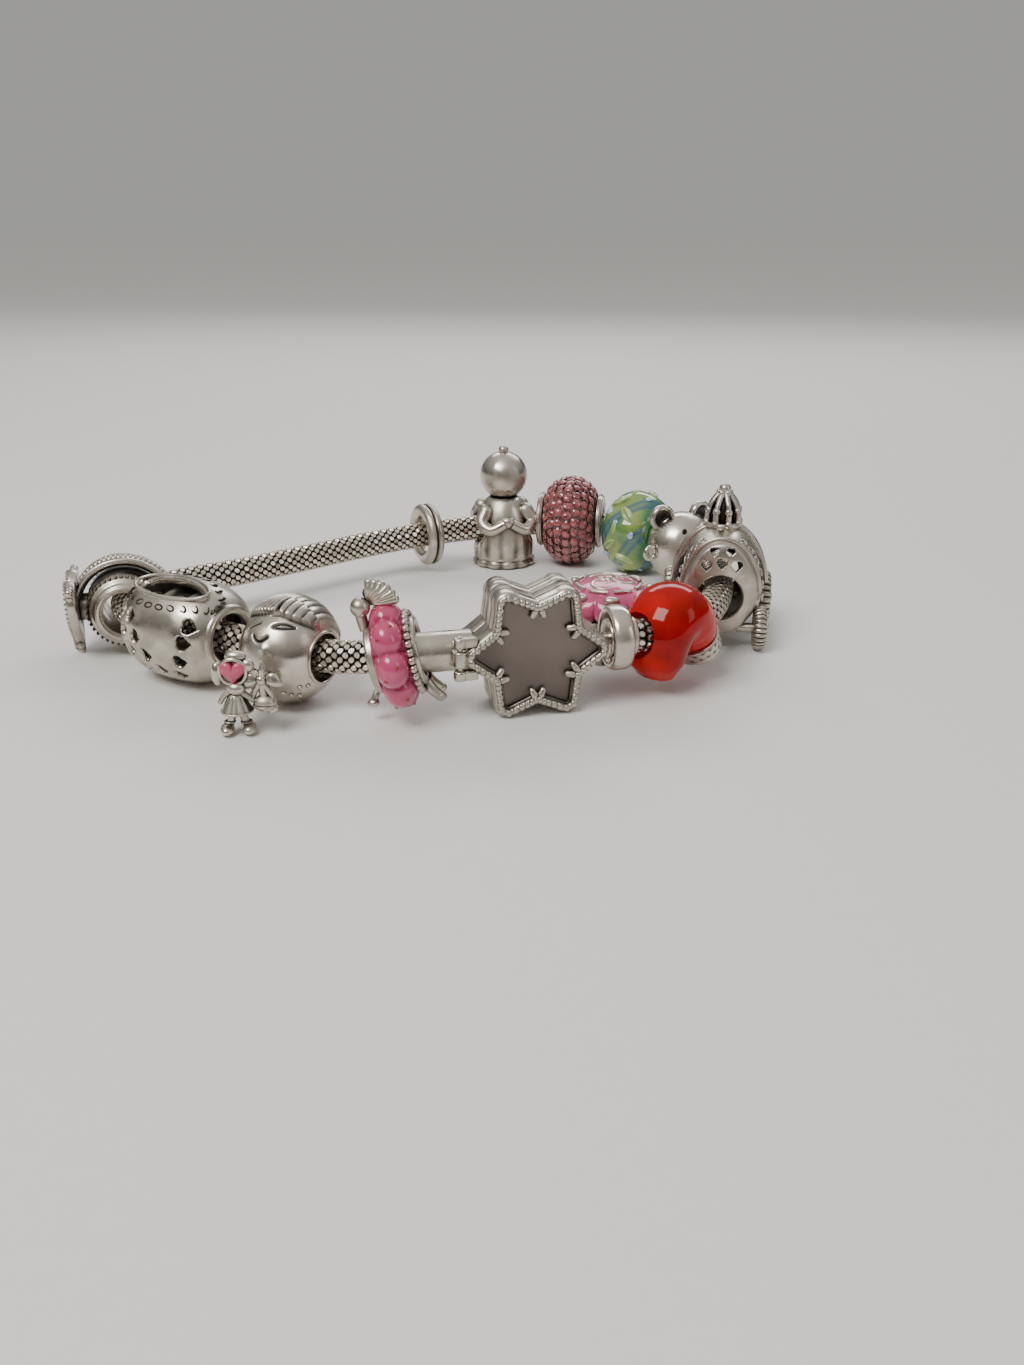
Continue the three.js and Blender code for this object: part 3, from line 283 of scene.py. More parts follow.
def balls(centres, radius, count=10, **marks):
    centres = np.asarray(centres, float)
    radii = np.broadcast_to(radius, len(centres))
    unit = ovoid((0, 0, 0), (1, 1, 1), count, **marks)
    return scattered(unit, [[c, (r, 0, 0), (0, r, 0), (0, 0, r)] for c, r in zip(centres, radii)])


# Pierced sheet: grid points near an opening's edge slide onto it, then the faces inside the opening go.
def pierced(shape, hole, rows, cols):
    u, v = np.meshgrid(np.linspace(0, 1, rows), np.linspace(0, 1, cols, endpoint=False), indexing="ij")
    du, dv = 1 / (rows - 1), 1 / cols
    edge = hole(shape(u, v))
    slopeU = hole(shape(np.clip(u + du / 2, 0, 1), v)) - hole(shape(np.clip(u - du / 2, 0, 1), v))
    slopeV = hole(shape(u, v + dv / 2)) - hole(shape(u, v - dv / 2))
    slope = slopeU ** 2 + slopeV ** 2 + 1e-12
    near = np.abs(edge) < 0.6 * np.sqrt(slope)
    shift = np.where(near, -edge / slope, 0)
    grid = shape(np.clip(u + shift * slopeU * du, 0, 1), v + shift * slopeV * dv)
    piece = part(grid, caps=False)
    value = np.where(near, 0, edge).reshape(-1)
    corner = value[piece["faces"]]
    keep = (corner.min(1) >= 0) & (corner.max(1) > 0)
    piece["faces"] = piece["faces"][keep]
    return piece


# A solid wall from an open sheet: Solidify inwards by the wall's thickness. Its inside is the second
# material, and so are its cut edges where rim is 1; the callers give the near-black inner silver there, as
# painted shade.
def thicken(piece, wall, rim=0):
    solid = piece.modifiers.new("wall", "SOLIDIFY")
    solid.thickness = wall * metre
    solid.offset = -1
    solid.material_offset, solid.material_offset_rim = 1, rim


# The chain's path and each charm's place.

clasp = dict(x=10.2, y=-20.4, yaw=13, reach=6.5, notch=4.75, tip=1.25, half=2.7, barrel=4.8, capLength=2.6,
             capRadius=1.8, pieceGap=0.3)
chainRoute = [
    (22.4, -16.7, 5.5), (26.4, -12.2, 5.4), (29, -6.4, 5.5), (30.3, 0, 5.55), (30.8, 8.4, 5),
    (28.4, 16.6, 4.8), (23.9, 22.4, 4.95), (17.2, 25.9, 5.2), (9, 26.2, 4.9), (-0.6, 23.6, 4.5),
    (-8.6, 18.8, 4.3), (-15.8, 12.8, 4.2), (-22, 7.4, 4.2), (-27.6, 3, 4.3), (-31, -2.8, 4.5),
    (-29.4, -8.2, 4.8), (-24.2, -12.4, 4.95), (-17.8, -16.2, 4.85), (-11.9, -19.3, 4.8),
    (-6.6, -21.8, 5.1)]
claspHeight = (clasp["reach"] - clasp["tip"]) * math.sin(math.pi / 3) + clasp["tip"]
capStart = clasp["reach"] + 1.6 * clasp["pieceGap"]
capEnd = capStart + clasp["capLength"]
barrelEnd = clasp["reach"] + clasp["barrel"]


def claspPoint(along):
    yaw = math.radians(clasp["yaw"])
    return (clasp["x"] + along * math.cos(yaw), clasp["y"] + along * math.sin(yaw), claspHeight)


def straight(end):
    return [0, end / 2, end, end + 1]


pathPoints = smoothCurve([claspPoint(a) for a in straight(capEnd)] + chainRoute
                         + [claspPoint(-a) for a in straight(barrelEnd)[::-1]], 200)
pathPlaces = np.concatenate([[0], np.cumsum(np.linalg.norm(np.diff(pathPoints, axis=0), axis=1))])
pathLength = pathPlaces[-1]


def pathAt(place):
    return np.stack([np.interp(place, pathPlaces, pathPoints[:, k]) for k in range(3)], -1)


def pathTangent(place):
    along = pathAt(np.asarray(place) + 0.1) - pathAt(np.asarray(place) - 0.1)
    return along / np.linalg.norm(along, axis=-1)[..., None]


stations = {"clasp": 0.0}
place = clasp["reach"]
for name, bare, length in (("stopper", 0.5, 1.9), ("stocking", 0.8, 8.8), ("coach", 7.4, 9.6),
                           ("bear", 9.2, 7.4), ("green", 0.5, 6.8), ("pave", 1.65, 8.2), ("bell", 0.6, 7.8),
                           ("spacer", 5.2, 2)):
    stations[name] = place + bare + length / 2
    place += bare + length
place = barrelEnd - 1
for name, bare, length in (("lobed", 0.2, 3.4), ("face", 4.6, 8.6), ("pierced", 2.3, 11.2),
                           ("framed", 3.2, 6.8)):
    stations[name] = pathLength - (place + bare + length / 2)
    place += bare + length

low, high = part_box("spacer_ring")
shift = np.array([(low[k] + high[k]) / 2 / metre for k in range(3)]) - pathAt(stations["spacer"])


# Parts made in a charm's own frame (X along the chain, -Y outwards, Z up) taken to their place on the chain.
def strung(name, parts, lift=0.0):
    along = pathTangent(stations[name])
    c, s = along[:2] / np.linalg.norm(along[:2])
    return moved(parts, pathAt(stations[name]) + shift + (0, 0, lift), ((c, s, 0), (-s, c, 0), (0, 0, 1)))


# Where a place in a charm's own frame lies, before the shift.
def spotOn(name, place):
    return strung(name, [dict(points=np.array([place]))])[0]["points"][0] - shift


def groundOf(name):
    return -pathAt(stations[name])[2]


# The bore of a bead: a tube along the chain's own path, taken out of the finished piece.
def boreOut(piece, name, reach, radius=2.15):
    place = np.linspace(-reach, reach, 25) + stations[name]
    cutter = newObject("bore", meshFrom("bore", [tube(pathAt(place) + shift, radius, 40)]))
    bore = piece.modifiers.new("bore", "BOOLEAN")
    bore.operation, bore.solver, bore.object, bore.use_self = "DIFFERENCE", "EXACT", cutter, True
    evaluated = piece.evaluated_get(bpy.context.evaluated_depsgraph_get())
    mesh = bpy.data.meshes.new_from_object(evaluated)
    piece.modifiers.clear()
    old, piece.data = piece.data, mesh
    bpy.data.meshes.remove(old)
    bpy.data.objects.remove(cutter)
    mesh.set_sharp_from_angle(angle=sharpAngle)


# Camera and light.

view = dict(lens=29.855, sensor=36, pitch=22.2, place=(8.5, -115.0, 40.7))
cameraData = bpy.data.cameras.new("camera")
cameraData.lens, cameraData.sensor_width = view["lens"], view["sensor"]
cameraData.clip_start = 0.002
camera = newObject("camera", cameraData)
camera.location = Vector(np.array(view["place"]) + shift) * metre
camera.rotation_euler = (math.radians(90 - view["pitch"]), 0, 0)
bpy.context.scene.camera = camera

studio = dict(key=1.3, fill=0.12, back=0.6, high=0.72, low=0.04, seen=0.46, floor=(0.8, 0.79, 0.77))


# Rectangular light at a place in metres, facing the bracelet's middle.
def areaLight(name, place, size, power, colour=(1, 1, 1)):
    data = bpy.data.lights.new(name, "AREA")
    data.shape, data.size, data.size_y = "RECTANGLE", size[0], size[1]
    data.energy, data.color = power, colour
    light = newObject(name, data)
    light.location = place
    light.rotation_euler = (-Vector(place)).to_track_quat("-Z", "Y").to_euler()


areaLight("keyLight", (-0.16, -0.20, 0.34), (0.22, 0.16), studio["key"], (1, 0.98, 0.95))
areaLight("fillLight", (0.34, -0.16, 0.16), (0.1, 0.22), studio["fill"], (0.93, 0.96, 1))
areaLight("backLight", (0.05, 0.30, 0.24), (0.4, 0.1), studio["back"])


# One node, its settings, and its inputs: a socket is linked and anything else is a value.
def nodeIn(tree, kind, inputs=None, **settings):
    made = tree.nodes.new(kind)
    for key, value in settings.items():
        setattr(made, key, value)
    for key, value in (inputs or {}).items():
        if isinstance(value, bpy.types.NodeSocket):
            tree.links.new(value, made.inputs[key])
        else:
            made.inputs[key].default_value = value
    return made


# Sky of the studio: bright overhead and dim at eye level; the camera sees the floor's own pale tone.
def studioWorld():
    world = bpy.data.worlds.new("studio")
    world.use_nodes = True
    tree = world.node_tree
    height = nodeIn(tree, "ShaderNodeSeparateXYZ",
                    {0: nodeIn(tree, "ShaderNodeTexCoord").outputs["Generated"]})
    rise = nodeIn(tree, "ShaderNodeMapRange", {"Value": height.outputs["Z"], "To Min": studio["low"],
                                               "To Max": studio["high"]})
    light = tree.nodes["Background"]
    light.inputs["Color"].default_value = (1, 0.975, 0.94, 1)
    tree.links.new(rise.outputs["Result"], light.inputs["Strength"])
    plain = nodeIn(tree, "ShaderNodeBackground", {"Color": (*studio["floor"], 1), "Strength": studio["seen"]})
    path = nodeIn(tree, "ShaderNodeLightPath")
    both = nodeIn(tree, "ShaderNodeMixShader", {0: path.outputs["Is Camera Ray"], 1: light.outputs[0],
                                                2: plain.outputs[0]})
    tree.links.new(both.outputs[0], tree.nodes["World Output"].inputs["Surface"])
    bpy.context.scene.world = world


studioWorld()
print("camera and light set")


# Materials.

def newGroup(name, inputs, outputs):
    group = bpy.data.node_groups.new(name, "ShaderNodeTree")
    for label, kind, value in inputs:
        socket = group.interface.new_socket(label, in_out="INPUT", socket_type=kind)
        socket.default_value = value
    for label, kind in outputs:
        group.interface.new_socket(label, in_out="OUTPUT", socket_type=kind)
    return group, group.nodes.new("NodeGroupInput"), group.nodes.new("NodeGroupOutput")


# Colour mix; a Mix node's sockets 6, 7 and output 2 are those of its two colours.
def mixed(tree, share, first, second):
    return nodeIn(tree, "ShaderNodeMix", {"Factor": share, 6: first, 7: second}, data_type="RGBA").outputs[2]


# Aged metal: the tarnish colour goes where the recess mark says, and where nearby surfaces close a place in
# (ambient occlusion), which is tarnish in hollows and painted shade in one; the polish colour stays bright on
# what hands rub.
def agedAndShadedMetalGroup():
    group, given, out = newGroup(
        "agedAndShadedMetal",
        [("Polish", "NodeSocketColor", (0.8, 0.8, 0.8, 1)),
         ("Tarnish and shade", "NodeSocketColor", (0.03, 0.03, 0.03, 1)), ("Crevice", "NodeSocketFloat", 1.0),
         ("Wear scale", "NodeSocketFloat", 900.0), ("Smooth roughness", "NodeSocketFloat", 0.14),
         ("Dark roughness", "NodeSocketFloat", 0.5)],
        [("Color", "NodeSocketColor"), ("Roughness", "NodeSocketFloat"), ("Height", "NodeSocketFloat")])
    where = nodeIn(group, "ShaderNodeTexCoord").outputs["Object"]
    mark = nodeIn(group, "ShaderNodeAttribute", attribute_name="recess").outputs["Fac"]
    # Ambient occlusion within the piece itself: painted shade where nearby surfaces close a place in, pulling
    # the colour towards the tarnish.
    closed = nodeIn(group, "ShaderNodeAmbientOcclusion", {"Distance": 0.0009}, samples=8, only_local=True)
    hidden = nodeIn(group, "ShaderNodeMapRange", {"Value": closed.outputs["AO"], "From Min": 0.8,
                                                  "From Max": 0.3})
    deep = nodeIn(group, "ShaderNodeMath", {0: hidden.outputs["Result"], 1: given.outputs["Crevice"]},
                  operation="MULTIPLY")
    cloud = nodeIn(group, "ShaderNodeTexNoise", {"Vector": where, "Scale": given.outputs["Wear scale"],
                                                 "Detail": 4.0})
    grain = nodeIn(group, "ShaderNodeTexNoise", {"Vector": where, "Scale": 5200.0, "Detail": 2.0})
    total = nodeIn(group, "ShaderNodeMath", {0: deep.outputs[0], 1: mark}, operation="ADD")
    swing = nodeIn(group, "ShaderNodeMapRange", {"Value": cloud.outputs["Fac"], "From Min": 0.3,
                                                 "From Max": 0.7, "To Min": -0.1, "To Max": 0.24})
    mask = nodeIn(group, "ShaderNodeMath", {0: total.outputs[0], 1: swing.outputs["Result"]}, operation="ADD",
                  use_clamp=True)
    colour = mixed(group, mask.outputs[0], given.outputs["Polish"], given.outputs["Tarnish and shade"])
    rough = nodeIn(group, "ShaderNodeMapRange", {"Value": mask.outputs[0],
                                                 "To Min": given.outputs["Smooth roughness"],
                                                 "To Max": given.outputs["Dark roughness"]})
    smear = nodeIn(group, "ShaderNodeMath", {0: swing.outputs["Result"], 1: rough.outputs["Result"]},
                   operation="ADD")
    group.links.new(colour, out.inputs["Color"])
    group.links.new(smear.outputs[0], out.inputs["Roughness"])
    group.links.new(grain.outputs["Fac"], out.inputs["Height"])
    return group


# Fired colour: slow clouding of the tone, and an orange-peel height.
def firedColourGroup():
    group, given, out = newGroup(
        "firedColour",
        [("Main", "NodeSocketColor", (0.8, 0.1, 0.2, 1)), ("Deep", "NodeSocketColor", (0.4, 0.02, 0.08, 1)),
         ("Cloud scale", "NodeSocketFloat", 260.0), ("Peel scale", "NodeSocketFloat", 900.0)],
        [("Color", "NodeSocketColor"), ("Height", "NodeSocketFloat")])
    where = nodeIn(group, "ShaderNodeTexCoord").outputs["Object"]
    mark = nodeIn(group, "ShaderNodeAttribute", attribute_name="recess").outputs["Fac"]
    cloud = nodeIn(group, "ShaderNodeTexNoise", {"Vector": where, "Scale": given.outputs["Cloud scale"],
                                                 "Detail": 3.0})
    peel = nodeIn(group, "ShaderNodeTexNoise", {"Vector": where, "Scale": given.outputs["Peel scale"],
                                                "Detail": 1.0})
    share = nodeIn(group, "ShaderNodeMapRange", {"Value": cloud.outputs["Fac"], "From Min": 0.35,
                                                 "From Max": 0.7})
    both = nodeIn(group, "ShaderNodeMath", {0: share.outputs["Result"], 1: mark}, operation="ADD",
                  use_clamp=True)
    colour = mixed(group, both.outputs[0], given.outputs["Main"], given.outputs["Deep"])
    group.links.new(colour, out.inputs["Color"])
    group.links.new(peel.outputs["Fac"], out.inputs["Height"])
    return group


agedAndShadedMetal = agedAndShadedMetalGroup()
firedColour = firedColourGroup()


def newMaterial(name, values):
    material = bpy.data.materials.new(name)
    material.use_nodes = True
    shader = material.node_tree.nodes["Principled BSDF"]
    for key, value in values.items():
        shader.inputs[key].default_value = value
    return material, material.node_tree, shader


def bumpFrom(tree, shader, height, strength, distance=0.00004):
    bump = nodeIn(tree, "ShaderNodeBump", {"Height": height, "Strength": strength, "Distance": distance})
    tree.links.new(bump.outputs["Normal"], shader.inputs["Normal"])


def silverMaterial(name, polish, tarnishAndShade, smooth, dark, crevice=1.0, wearScale=900.0, grain=0.05):
    material, tree, shader = newMaterial(name, {"Metallic": 1.0})
    aged = nodeIn(tree, "ShaderNodeGroup", {
        "Polish": (*polish, 1), "Tarnish and shade": (*tarnishAndShade, 1), "Crevice": crevice, "Wear scale": wearScale,
        "Smooth roughness": smooth, "Dark roughness": dark}, node_tree=agedAndShadedMetal)
    tree.links.new(aged.outputs["Color"], shader.inputs["Base Color"])
    tree.links.new(aged.outputs["Roughness"], shader.inputs["Roughness"])
    bumpFrom(tree, shader, aged.outputs["Height"], grain, 0.00003)
    return material


# The fired colour's group in a material, with its four values.
def firedIn(tree, main, deep, cloudScale, peelScale):
    return nodeIn(tree, "ShaderNodeGroup", {
        "Main": (*main, 1), "Deep": (*deep, 1), "Cloud scale": cloudScale, "Peel scale": peelScale},
        node_tree=firedColour)


def enamelMaterial(name, main, deep, roughness=0.12, coat=0.6, cloudScale=260.0, peel=0.12, glow=0.0,
                   shine=0.5):
    material, tree, shader = newMaterial(name, {
        "Roughness": roughness, "Coat Weight": coat, "Coat Roughness": 0.03, "Subsurface Weight": glow,
        "Specular IOR Level": shine, "Subsurface Radius": (1, 0.25, 0.2), "Subsurface Scale": 0.0016})
    fired = firedIn(tree, main, deep, cloudScale, 1400.0)
    tree.links.new(fired.outputs["Color"], shader.inputs["Base Color"])
    bumpFrom(tree, shader, fired.outputs["Height"], peel)
    return material


silver = silverMaterial("agedSilver", (0.6, 0.55, 0.475), (0.035, 0.028, 0.023), 0.25, 0.5, wearScale=520.0)
brightSilver = silverMaterial("polishedSilver", (0.68, 0.625, 0.545), (0.04, 0.033, 0.028), 0.21, 0.45,
                              wearScale=420.0)
chainSilver = silverMaterial("wovenSilver", (0.85, 0.77, 0.66), (0.03, 0.024, 0.018), 0.26, 0.6, crevice=1.1)
darkSilver = silverMaterial("oxidisedSilver", (0.5, 0.46, 0.42), (0.03, 0.027, 0.025), 0.3, 0.6)
floorSilver = silverMaterial("brushedFloor", (0.2, 0.167, 0.15), (0.08, 0.065, 0.058), 0.42, 0.48,
                             crevice=1.0, wearScale=130.0, grain=0.04)
# Near-black silver for the insides of the pierced shells and the coach's cut edges: painted shade inside
# them.
insideShadeSilver = silverMaterial("insideShadeSilver", (0.17, 0.15, 0.135), (0.03, 0.027, 0.025), 0.4, 0.6)
redGlass = enamelMaterial("redGlass", (0.5, 0.003, 0.0015), (0.14, 0.0008, 0.0005), 0.06, 0.06,
                          cloudScale=190.0, shine=0.22)
# Painted glow: a faint red emission on the red glass stands in for light passing through it.
redShader = redGlass.node_tree.nodes["Principled BSDF"]
redShader.inputs["Emission Color"].default_value = (1, 0.01, 0.0, 1)
redShader.inputs["Emission Strength"].default_value = 0.06
pinkEnamel = enamelMaterial("pinkEnamel", (0.68, 0.1, 0.23), (0.38, 0.03, 0.1), 0.18, 0.6, glow=0.15)
redDot = enamelMaterial("redEnamel", (0.42, 0.01, 0.02), (0.25, 0.005, 0.01), 0.16, 0.8)
icingEnamel = enamelMaterial("icingEnamel", (0.62, 0.1, 0.23), (0.44, 0.05, 0.15), 0.2, 0.5, glow=0.1)
heartEnamel = enamelMaterial("heartEnamel", (0.62, 0.1, 0.2), (0.45, 0.05, 0.12), 0.25, 0.5)
roseStone = enamelMaterial("roseStone", (0.46, 0.12, 0.13), (0.1, 0.015, 0.02), 0.03, 1.0, 1700.0, 0.0)
paleStone = enamelMaterial("paleBlueStone", (0.5, 0.66, 0.84), (0.12, 0.25, 0.5), 0.05, 1.0, 1500.0, 0.0)
seatDark = silverMaterial("stoneSeat", (0.5, 0.32, 0.3), (0.12, 0.06, 0.06), 0.3, 0.6)


# Green glass: yellow-green, darker towards its ends, with blue stripes where the tint mark says.
def greenGlassMaterial():
    material, tree, shader = newMaterial("greenGlass", {"Roughness": 0.07, "Coat Weight": 1.0,
                                                        "Coat Roughness": 0.02, "Transmission Weight": 0.15})
    fired = firedIn(tree, (0.42, 0.52, 0.09), (0.03, 0.2, 0.07), 240.0, 700.0)
    mark = nodeIn(tree, "ShaderNodeAttribute", attribute_name="tint").outputs["Fac"]
    stripe = mixed(tree, mark, fired.outputs["Color"], (0.015, 0.1, 0.24, 1))
    tree.links.new(stripe, shader.inputs["Base Color"])
    bumpFrom(tree, shader, fired.outputs["Height"], 0.1)
    return material


greenGlass = greenGlassMaterial()
leafGlass = enamelMaterial("leafGlass", (0.56, 0.66, 0.24), (0.2, 0.36, 0.12), 0.08, 0.8, cloudScale=700.0)


# Floor: pale matt board with a faint fleck.
def floorMaterial():
    material, tree, shader = newMaterial("paleFloor", {"Roughness": 0.7})
    where = nodeIn(tree, "ShaderNodeTexCoord").outputs["Object"]
    fleck = nodeIn(tree, "ShaderNodeTexNoise", {"Vector": where, "Scale": 900.0, "Detail": 3.0})
    darker = tuple(0.97 * value for value in studio["floor"])
    tone = mixed(tree, fleck.outputs["Fac"], (*darker, 1), (*studio["floor"], 1))
    tree.links.new(tone, shader.inputs["Base Color"])
    bumpFrom(tree, shader, fleck.outputs["Fac"], 0.05, 0.00005)
    return material


floorMesh = bpy.data.meshes.new("floor")
floorMesh.from_pydata([(-3, -3, 0), (3, -3, 0), (3, 3, 0), (-3, 3, 0)], [], [(0, 1, 2, 3)])
floor = newObject("floor", floorMesh)
floor.data.materials.append(floorMaterial())
print("materials made")


# Woven chain.

chain = dict(radius=1.6, nubs=11, pitch=0.54, nubLength=0.41, nubWidth=0.34, nubRise=0.36, slant=26,
             core=1.25)


# Rows of small ovals round the chain's path, each row turned half a step and slanted the other way.
def wovenChain():
    start = capEnd + 1.5 * clasp["pieceGap"]
    end = pathLength - barrelEnd - 1.5 * clasp["pieceGap"]
    rows = int((end - start) / chain["pitch"])
    place = np.linspace(start, end, rows)[:, None]
    odd = (np.arange(rows) % 2)[:, None]
    turn = 2 * np.pi * (np.arange(chain["nubs"])[None, :] + 0.5 * odd) / chain["nubs"]
    place = np.broadcast_to(place, turn.shape).reshape(-1)
    turn = turn.reshape(-1)[:, None]
    along = pathTangent(place)
    side = np.cross((0, 0, 1), along)
    side /= np.linalg.norm(side, axis=1)[:, None]
    lift = np.cross(along, side)
    out = np.cos(turn) * lift + np.sin(turn) * side
    cross = np.cross(out, along)
    slant = math.radians(chain["slant"]) * (2 * odd - 1).repeat(chain["nubs"])[:, None]
    longWay = np.cos(slant) * along + np.sin(slant) * cross
    shortWay = np.cross(out, longWay)
    centre = pathAt(place) + out * (chain["radius"] - chain["nubRise"])
    places = np.stack([centre, longWay * chain["nubLength"], shortWay * chain["nubWidth"],
                       out * chain["nubRise"]], 1)
    nub = ovoid((0, 0, 0), (1, 1, 1), 8)
    # The core under the nubs carries recess 1, so it takes the near-black tarnish colour: painted shade in
    # the gaps between the nubs.
    core = tube(pathAt(np.linspace(start, end, rows // 2)), chain["core"], 20, recess=1.0)
    return moved([core, scattered(nub, places)], shift)


makePiece("wovenChain", wovenChain(), [chainSilver], ["mesh_chain"])
print("chain woven")


# Star clasp.

star = dict(rim=1.0, recess=0.6, grain=0.34, grains=6, hingeX=-6.85, hingeY=-2.3, knuckle=0.6, pin=0.25,
            knuckleHalf=0.75, knuckleHeight=0.9, ballRadius=1.3, ballX=2.4, neck=0.6)


# Polar radius of the star: six tips rounded by circles, joined by straight edges to the notches between them.
def starRadius(turn, inset):
    tip = np.maximum(clasp["tip"] - inset, 0.2)
    centre, notch = clasp["reach"] - inset - tip, clasp["notch"] - 1.1 * inset
    arc = np.radians(np.linspace(-72, 72, 15))
    outline = np.column_stack([centre + tip * np.cos(arc), tip * np.sin(arc)])
    low = np.array([notch * math.cos(math.pi / 6), -notch * math.sin(math.pi / 6)])
    edge = np.linspace(0, 1, 8, endpoint=False)[:, None]
    lower = low * (1 - edge) + outline[0] * edge
    outline = np.vstack([lower, outline, lower[::-1] * (1, -1)])
    angle, reach = np.arctan2(outline[:, 1], outline[:, 0]), np.hypot(outline[:, 0], outline[:, 1])
    return np.interp((turn + math.pi / 6) % (math.pi / 3) - math.pi / 6, angle, reach)


starTurn = around(216)
starHalfRows = [(0, 0.05, 0.15, 0.6), (0, 0.9, 0.15, 0.6), (0.1, 1, 0.15, 0.4), (0, 1, 0.25, 0),
                (0, 1, 1.1, 0), (0, 1, 1.2, 0.5), (0.06, 1, 1.28, 1), (0, 1, 1.36, 0.5), (0, 1, 1.5, 0),
                (0, 1, clasp["half"] - 0.35, 0)]


# Half of the star: rows of the outline, each with its inset, its share of the reach, its depth and its
# recess.
def starHalf(rows, flip=1):
    inset, share, depth, mark = np.array(starHalfRows + rows, float).T[:, :, None]
    reach = np.vstack([starRadius(starTurn, value) for value in inset[:, 0]]) * share
    return part(about("y", flip * depth, reach, starTurn), recess=mark)


def claspLid():
    front, floor, rim = clasp["half"], clasp["half"] - star["recess"], star["rim"]
    spread = np.linspace(0.06, math.pi / 6 - 0.04, star["grains"])
    grains = np.concatenate([math.radians(60 * tip) + side * spread for tip in range(6) for side in (-1, 1)])
    parts = [starHalf([(0.07, 1, front - 0.15, 0), (0.2, 1, front - 0.05, 0), (0.4, 1, front - 0.12, 0.5),
                       (rim - 0.15, 1, front - 0.15, 0.6), (rim - 0.06, 1, front - 0.2, 0.6),
                       (rim, 1, front - 0.35, 1), (rim, 1, floor, 1)], -1),
             tube(about("y", 0.14 - front, starRadius(starTurn, 0.5), starTurn), 0.3, 10, closed=True),
             balls(about("y", 0.02 - front, starRadius(grains, 0.5), grains), star["grain"], 10)]
    for notch in range(6):  # a pair of prongs at each notch
        for side in (-1, 1):
            foot, tip = (math.radians(60 * notch + 30) + side * lean for lean in (0.045, 0.19))
            parts.append(rod(about("y", 0.1 - front, clasp["notch"] - 0.6, foot),
                             about("y", 0.3 - front, clasp["notch"] - 1.5, tip), 0.36, 0.27, 14, 0.8))
    x, y = star["hingeX"], star["hingeY"]
    for side in (-1, 1):
        low = side * (star["knuckleHalf"] + clasp["pieceGap"])
        high = low + side * star["knuckleHeight"]
        parts += [rod((x, y, low), (x, y, high), star["knuckle"], sides=24),
                  ovoid((x + 0.7, y, (low + high) / 2), (0.85, 0.42, star["knuckleHeight"] / 2), 20, 0.35)]
    return parts


# The lid's floor: a sheet just proud of the shell's own.
def claspLidFloor():
    reach = starRadius(starTurn, star["rim"] - 0.02)[None] * np.linspace(0.03, 1, 26)[:, None]
    front = about("y", star["recess"] - clasp["half"] - 0.06, reach, starTurn)
    return [part(np.vstack([front, front[::-1] + (0, 0.12, 0)]))]


def claspBase():
    back, r = clasp["half"], clasp["capRadius"]
    shell = starHalf([(0.1, 1, back - 0.1, 0), (0.35, 1, back, 0), (0.7, 1, back, 0.2),
                      (0.85, 1, back - 0.12, 0.8), (1.0, 1, back, 0.2), (1.2, 1, back, 0), (0, 0.1, back, 0)])
    barrel = [(-barrelEnd, 1.2), (-barrelEnd, r), (0.5 - barrelEnd, r), (0.55 - barrelEnd, r - 0.08),
              (0.7 - barrelEnd, r - 0.08), (0.75 - barrelEnd, r), (-5.4, r), (-5.4, 1.2)]
    x, y, half = star["hingeX"], star["hingeY"], star["knuckleHalf"]
    reach = half + clasp["pieceGap"] + star["knuckleHeight"] + 0.12
    return [shell, turned(eased(barrel, 0.16), sides=48),
            rod((x, y, -half), (x, y, half), star["knuckle"], sides=24),
            ovoid((x - 0.3, y + 0.75, 0), (0.3, 0.95, half), 16, 0.35),
            rod((x, y, -reach), (x, y, reach), star["pin"], sides=16)]


def chainEnd():
    r = clasp["capRadius"]
    cap = eased([(capStart, 0.5), (capStart, r), (capStart + 0.45, r), (capStart + 0.5, r - 0.1),
                 (capStart + 0.65, r - 0.1), (capStart + 0.7, r), (capEnd, r), (capEnd, 1.45)], 0.16)
    return [ball((star["ballX"], 0, 0), star["ballRadius"], 32),
            tube([(star["ballX"], 0, 0), (capStart + 0.2, 0, 0)], star["neck"], 24), turned(cap, sides=48)]


makePiece("claspLid", strung("clasp", claspLid()), [silver], ["clasp_lid"], body="clasp_lid")
makePiece("claspLidFloor", strung("clasp", claspLidFloor()), [floorSilver], body="clasp_lid")
makePiece("claspBase", strung("clasp", claspBase()), [silver], ["clasp_base"])
makePiece("chainEnd", strung("clasp", chainEnd()), [brightSilver], ["chain_end"])
print("clasp made")


# Plain rings.

def eyelet(centre, across, wire, facing):
    return ring(centre, across / 2 - wire / 2, wire / 2, (math.cos(facing), math.sin(facing), 0), (0, 0, 1),
                40, 12)


rings = dict(stopperRadius=3.0, stopperLength=1.9, spacerRadius=3.8, spacerLength=2.0, bore=2.15)


# Ring bead: the section is a superellipse between the bore and the outside.
def ringBead(length, radius, power=0.75, groove=0.0):
    turn = around(36)
    middle, reach = (radius + rings["bore"]) / 2, (radius - rings["bore"]) / 2
    profile = np.column_stack([signedPower(np.cos(turn), power) * length / 2,
                               middle + signedPower(np.sin(turn), power) * reach])
    profile[:, 1] -= groove * np.exp(-(profile[:, 0] / 0.16) ** 2) * (profile[:, 1] > middle)
    marks = (np.exp(-(profile[:, 0] / 0.2) ** 2) * (profile[:, 1] > middle) * (groove > 0))[:, None]
    return turned(profile, sides=72, closed=True, recess=marks)


cake = dict(x=18, y=-8, topRadius=5, cupTop=4, cupFoot=3, cupHeight=4.6, icingHeight=3.2, lobes=8, pleats=18,
            eye=1.6, wire=0.34, eyeHeight=3.3, ring=0.32)

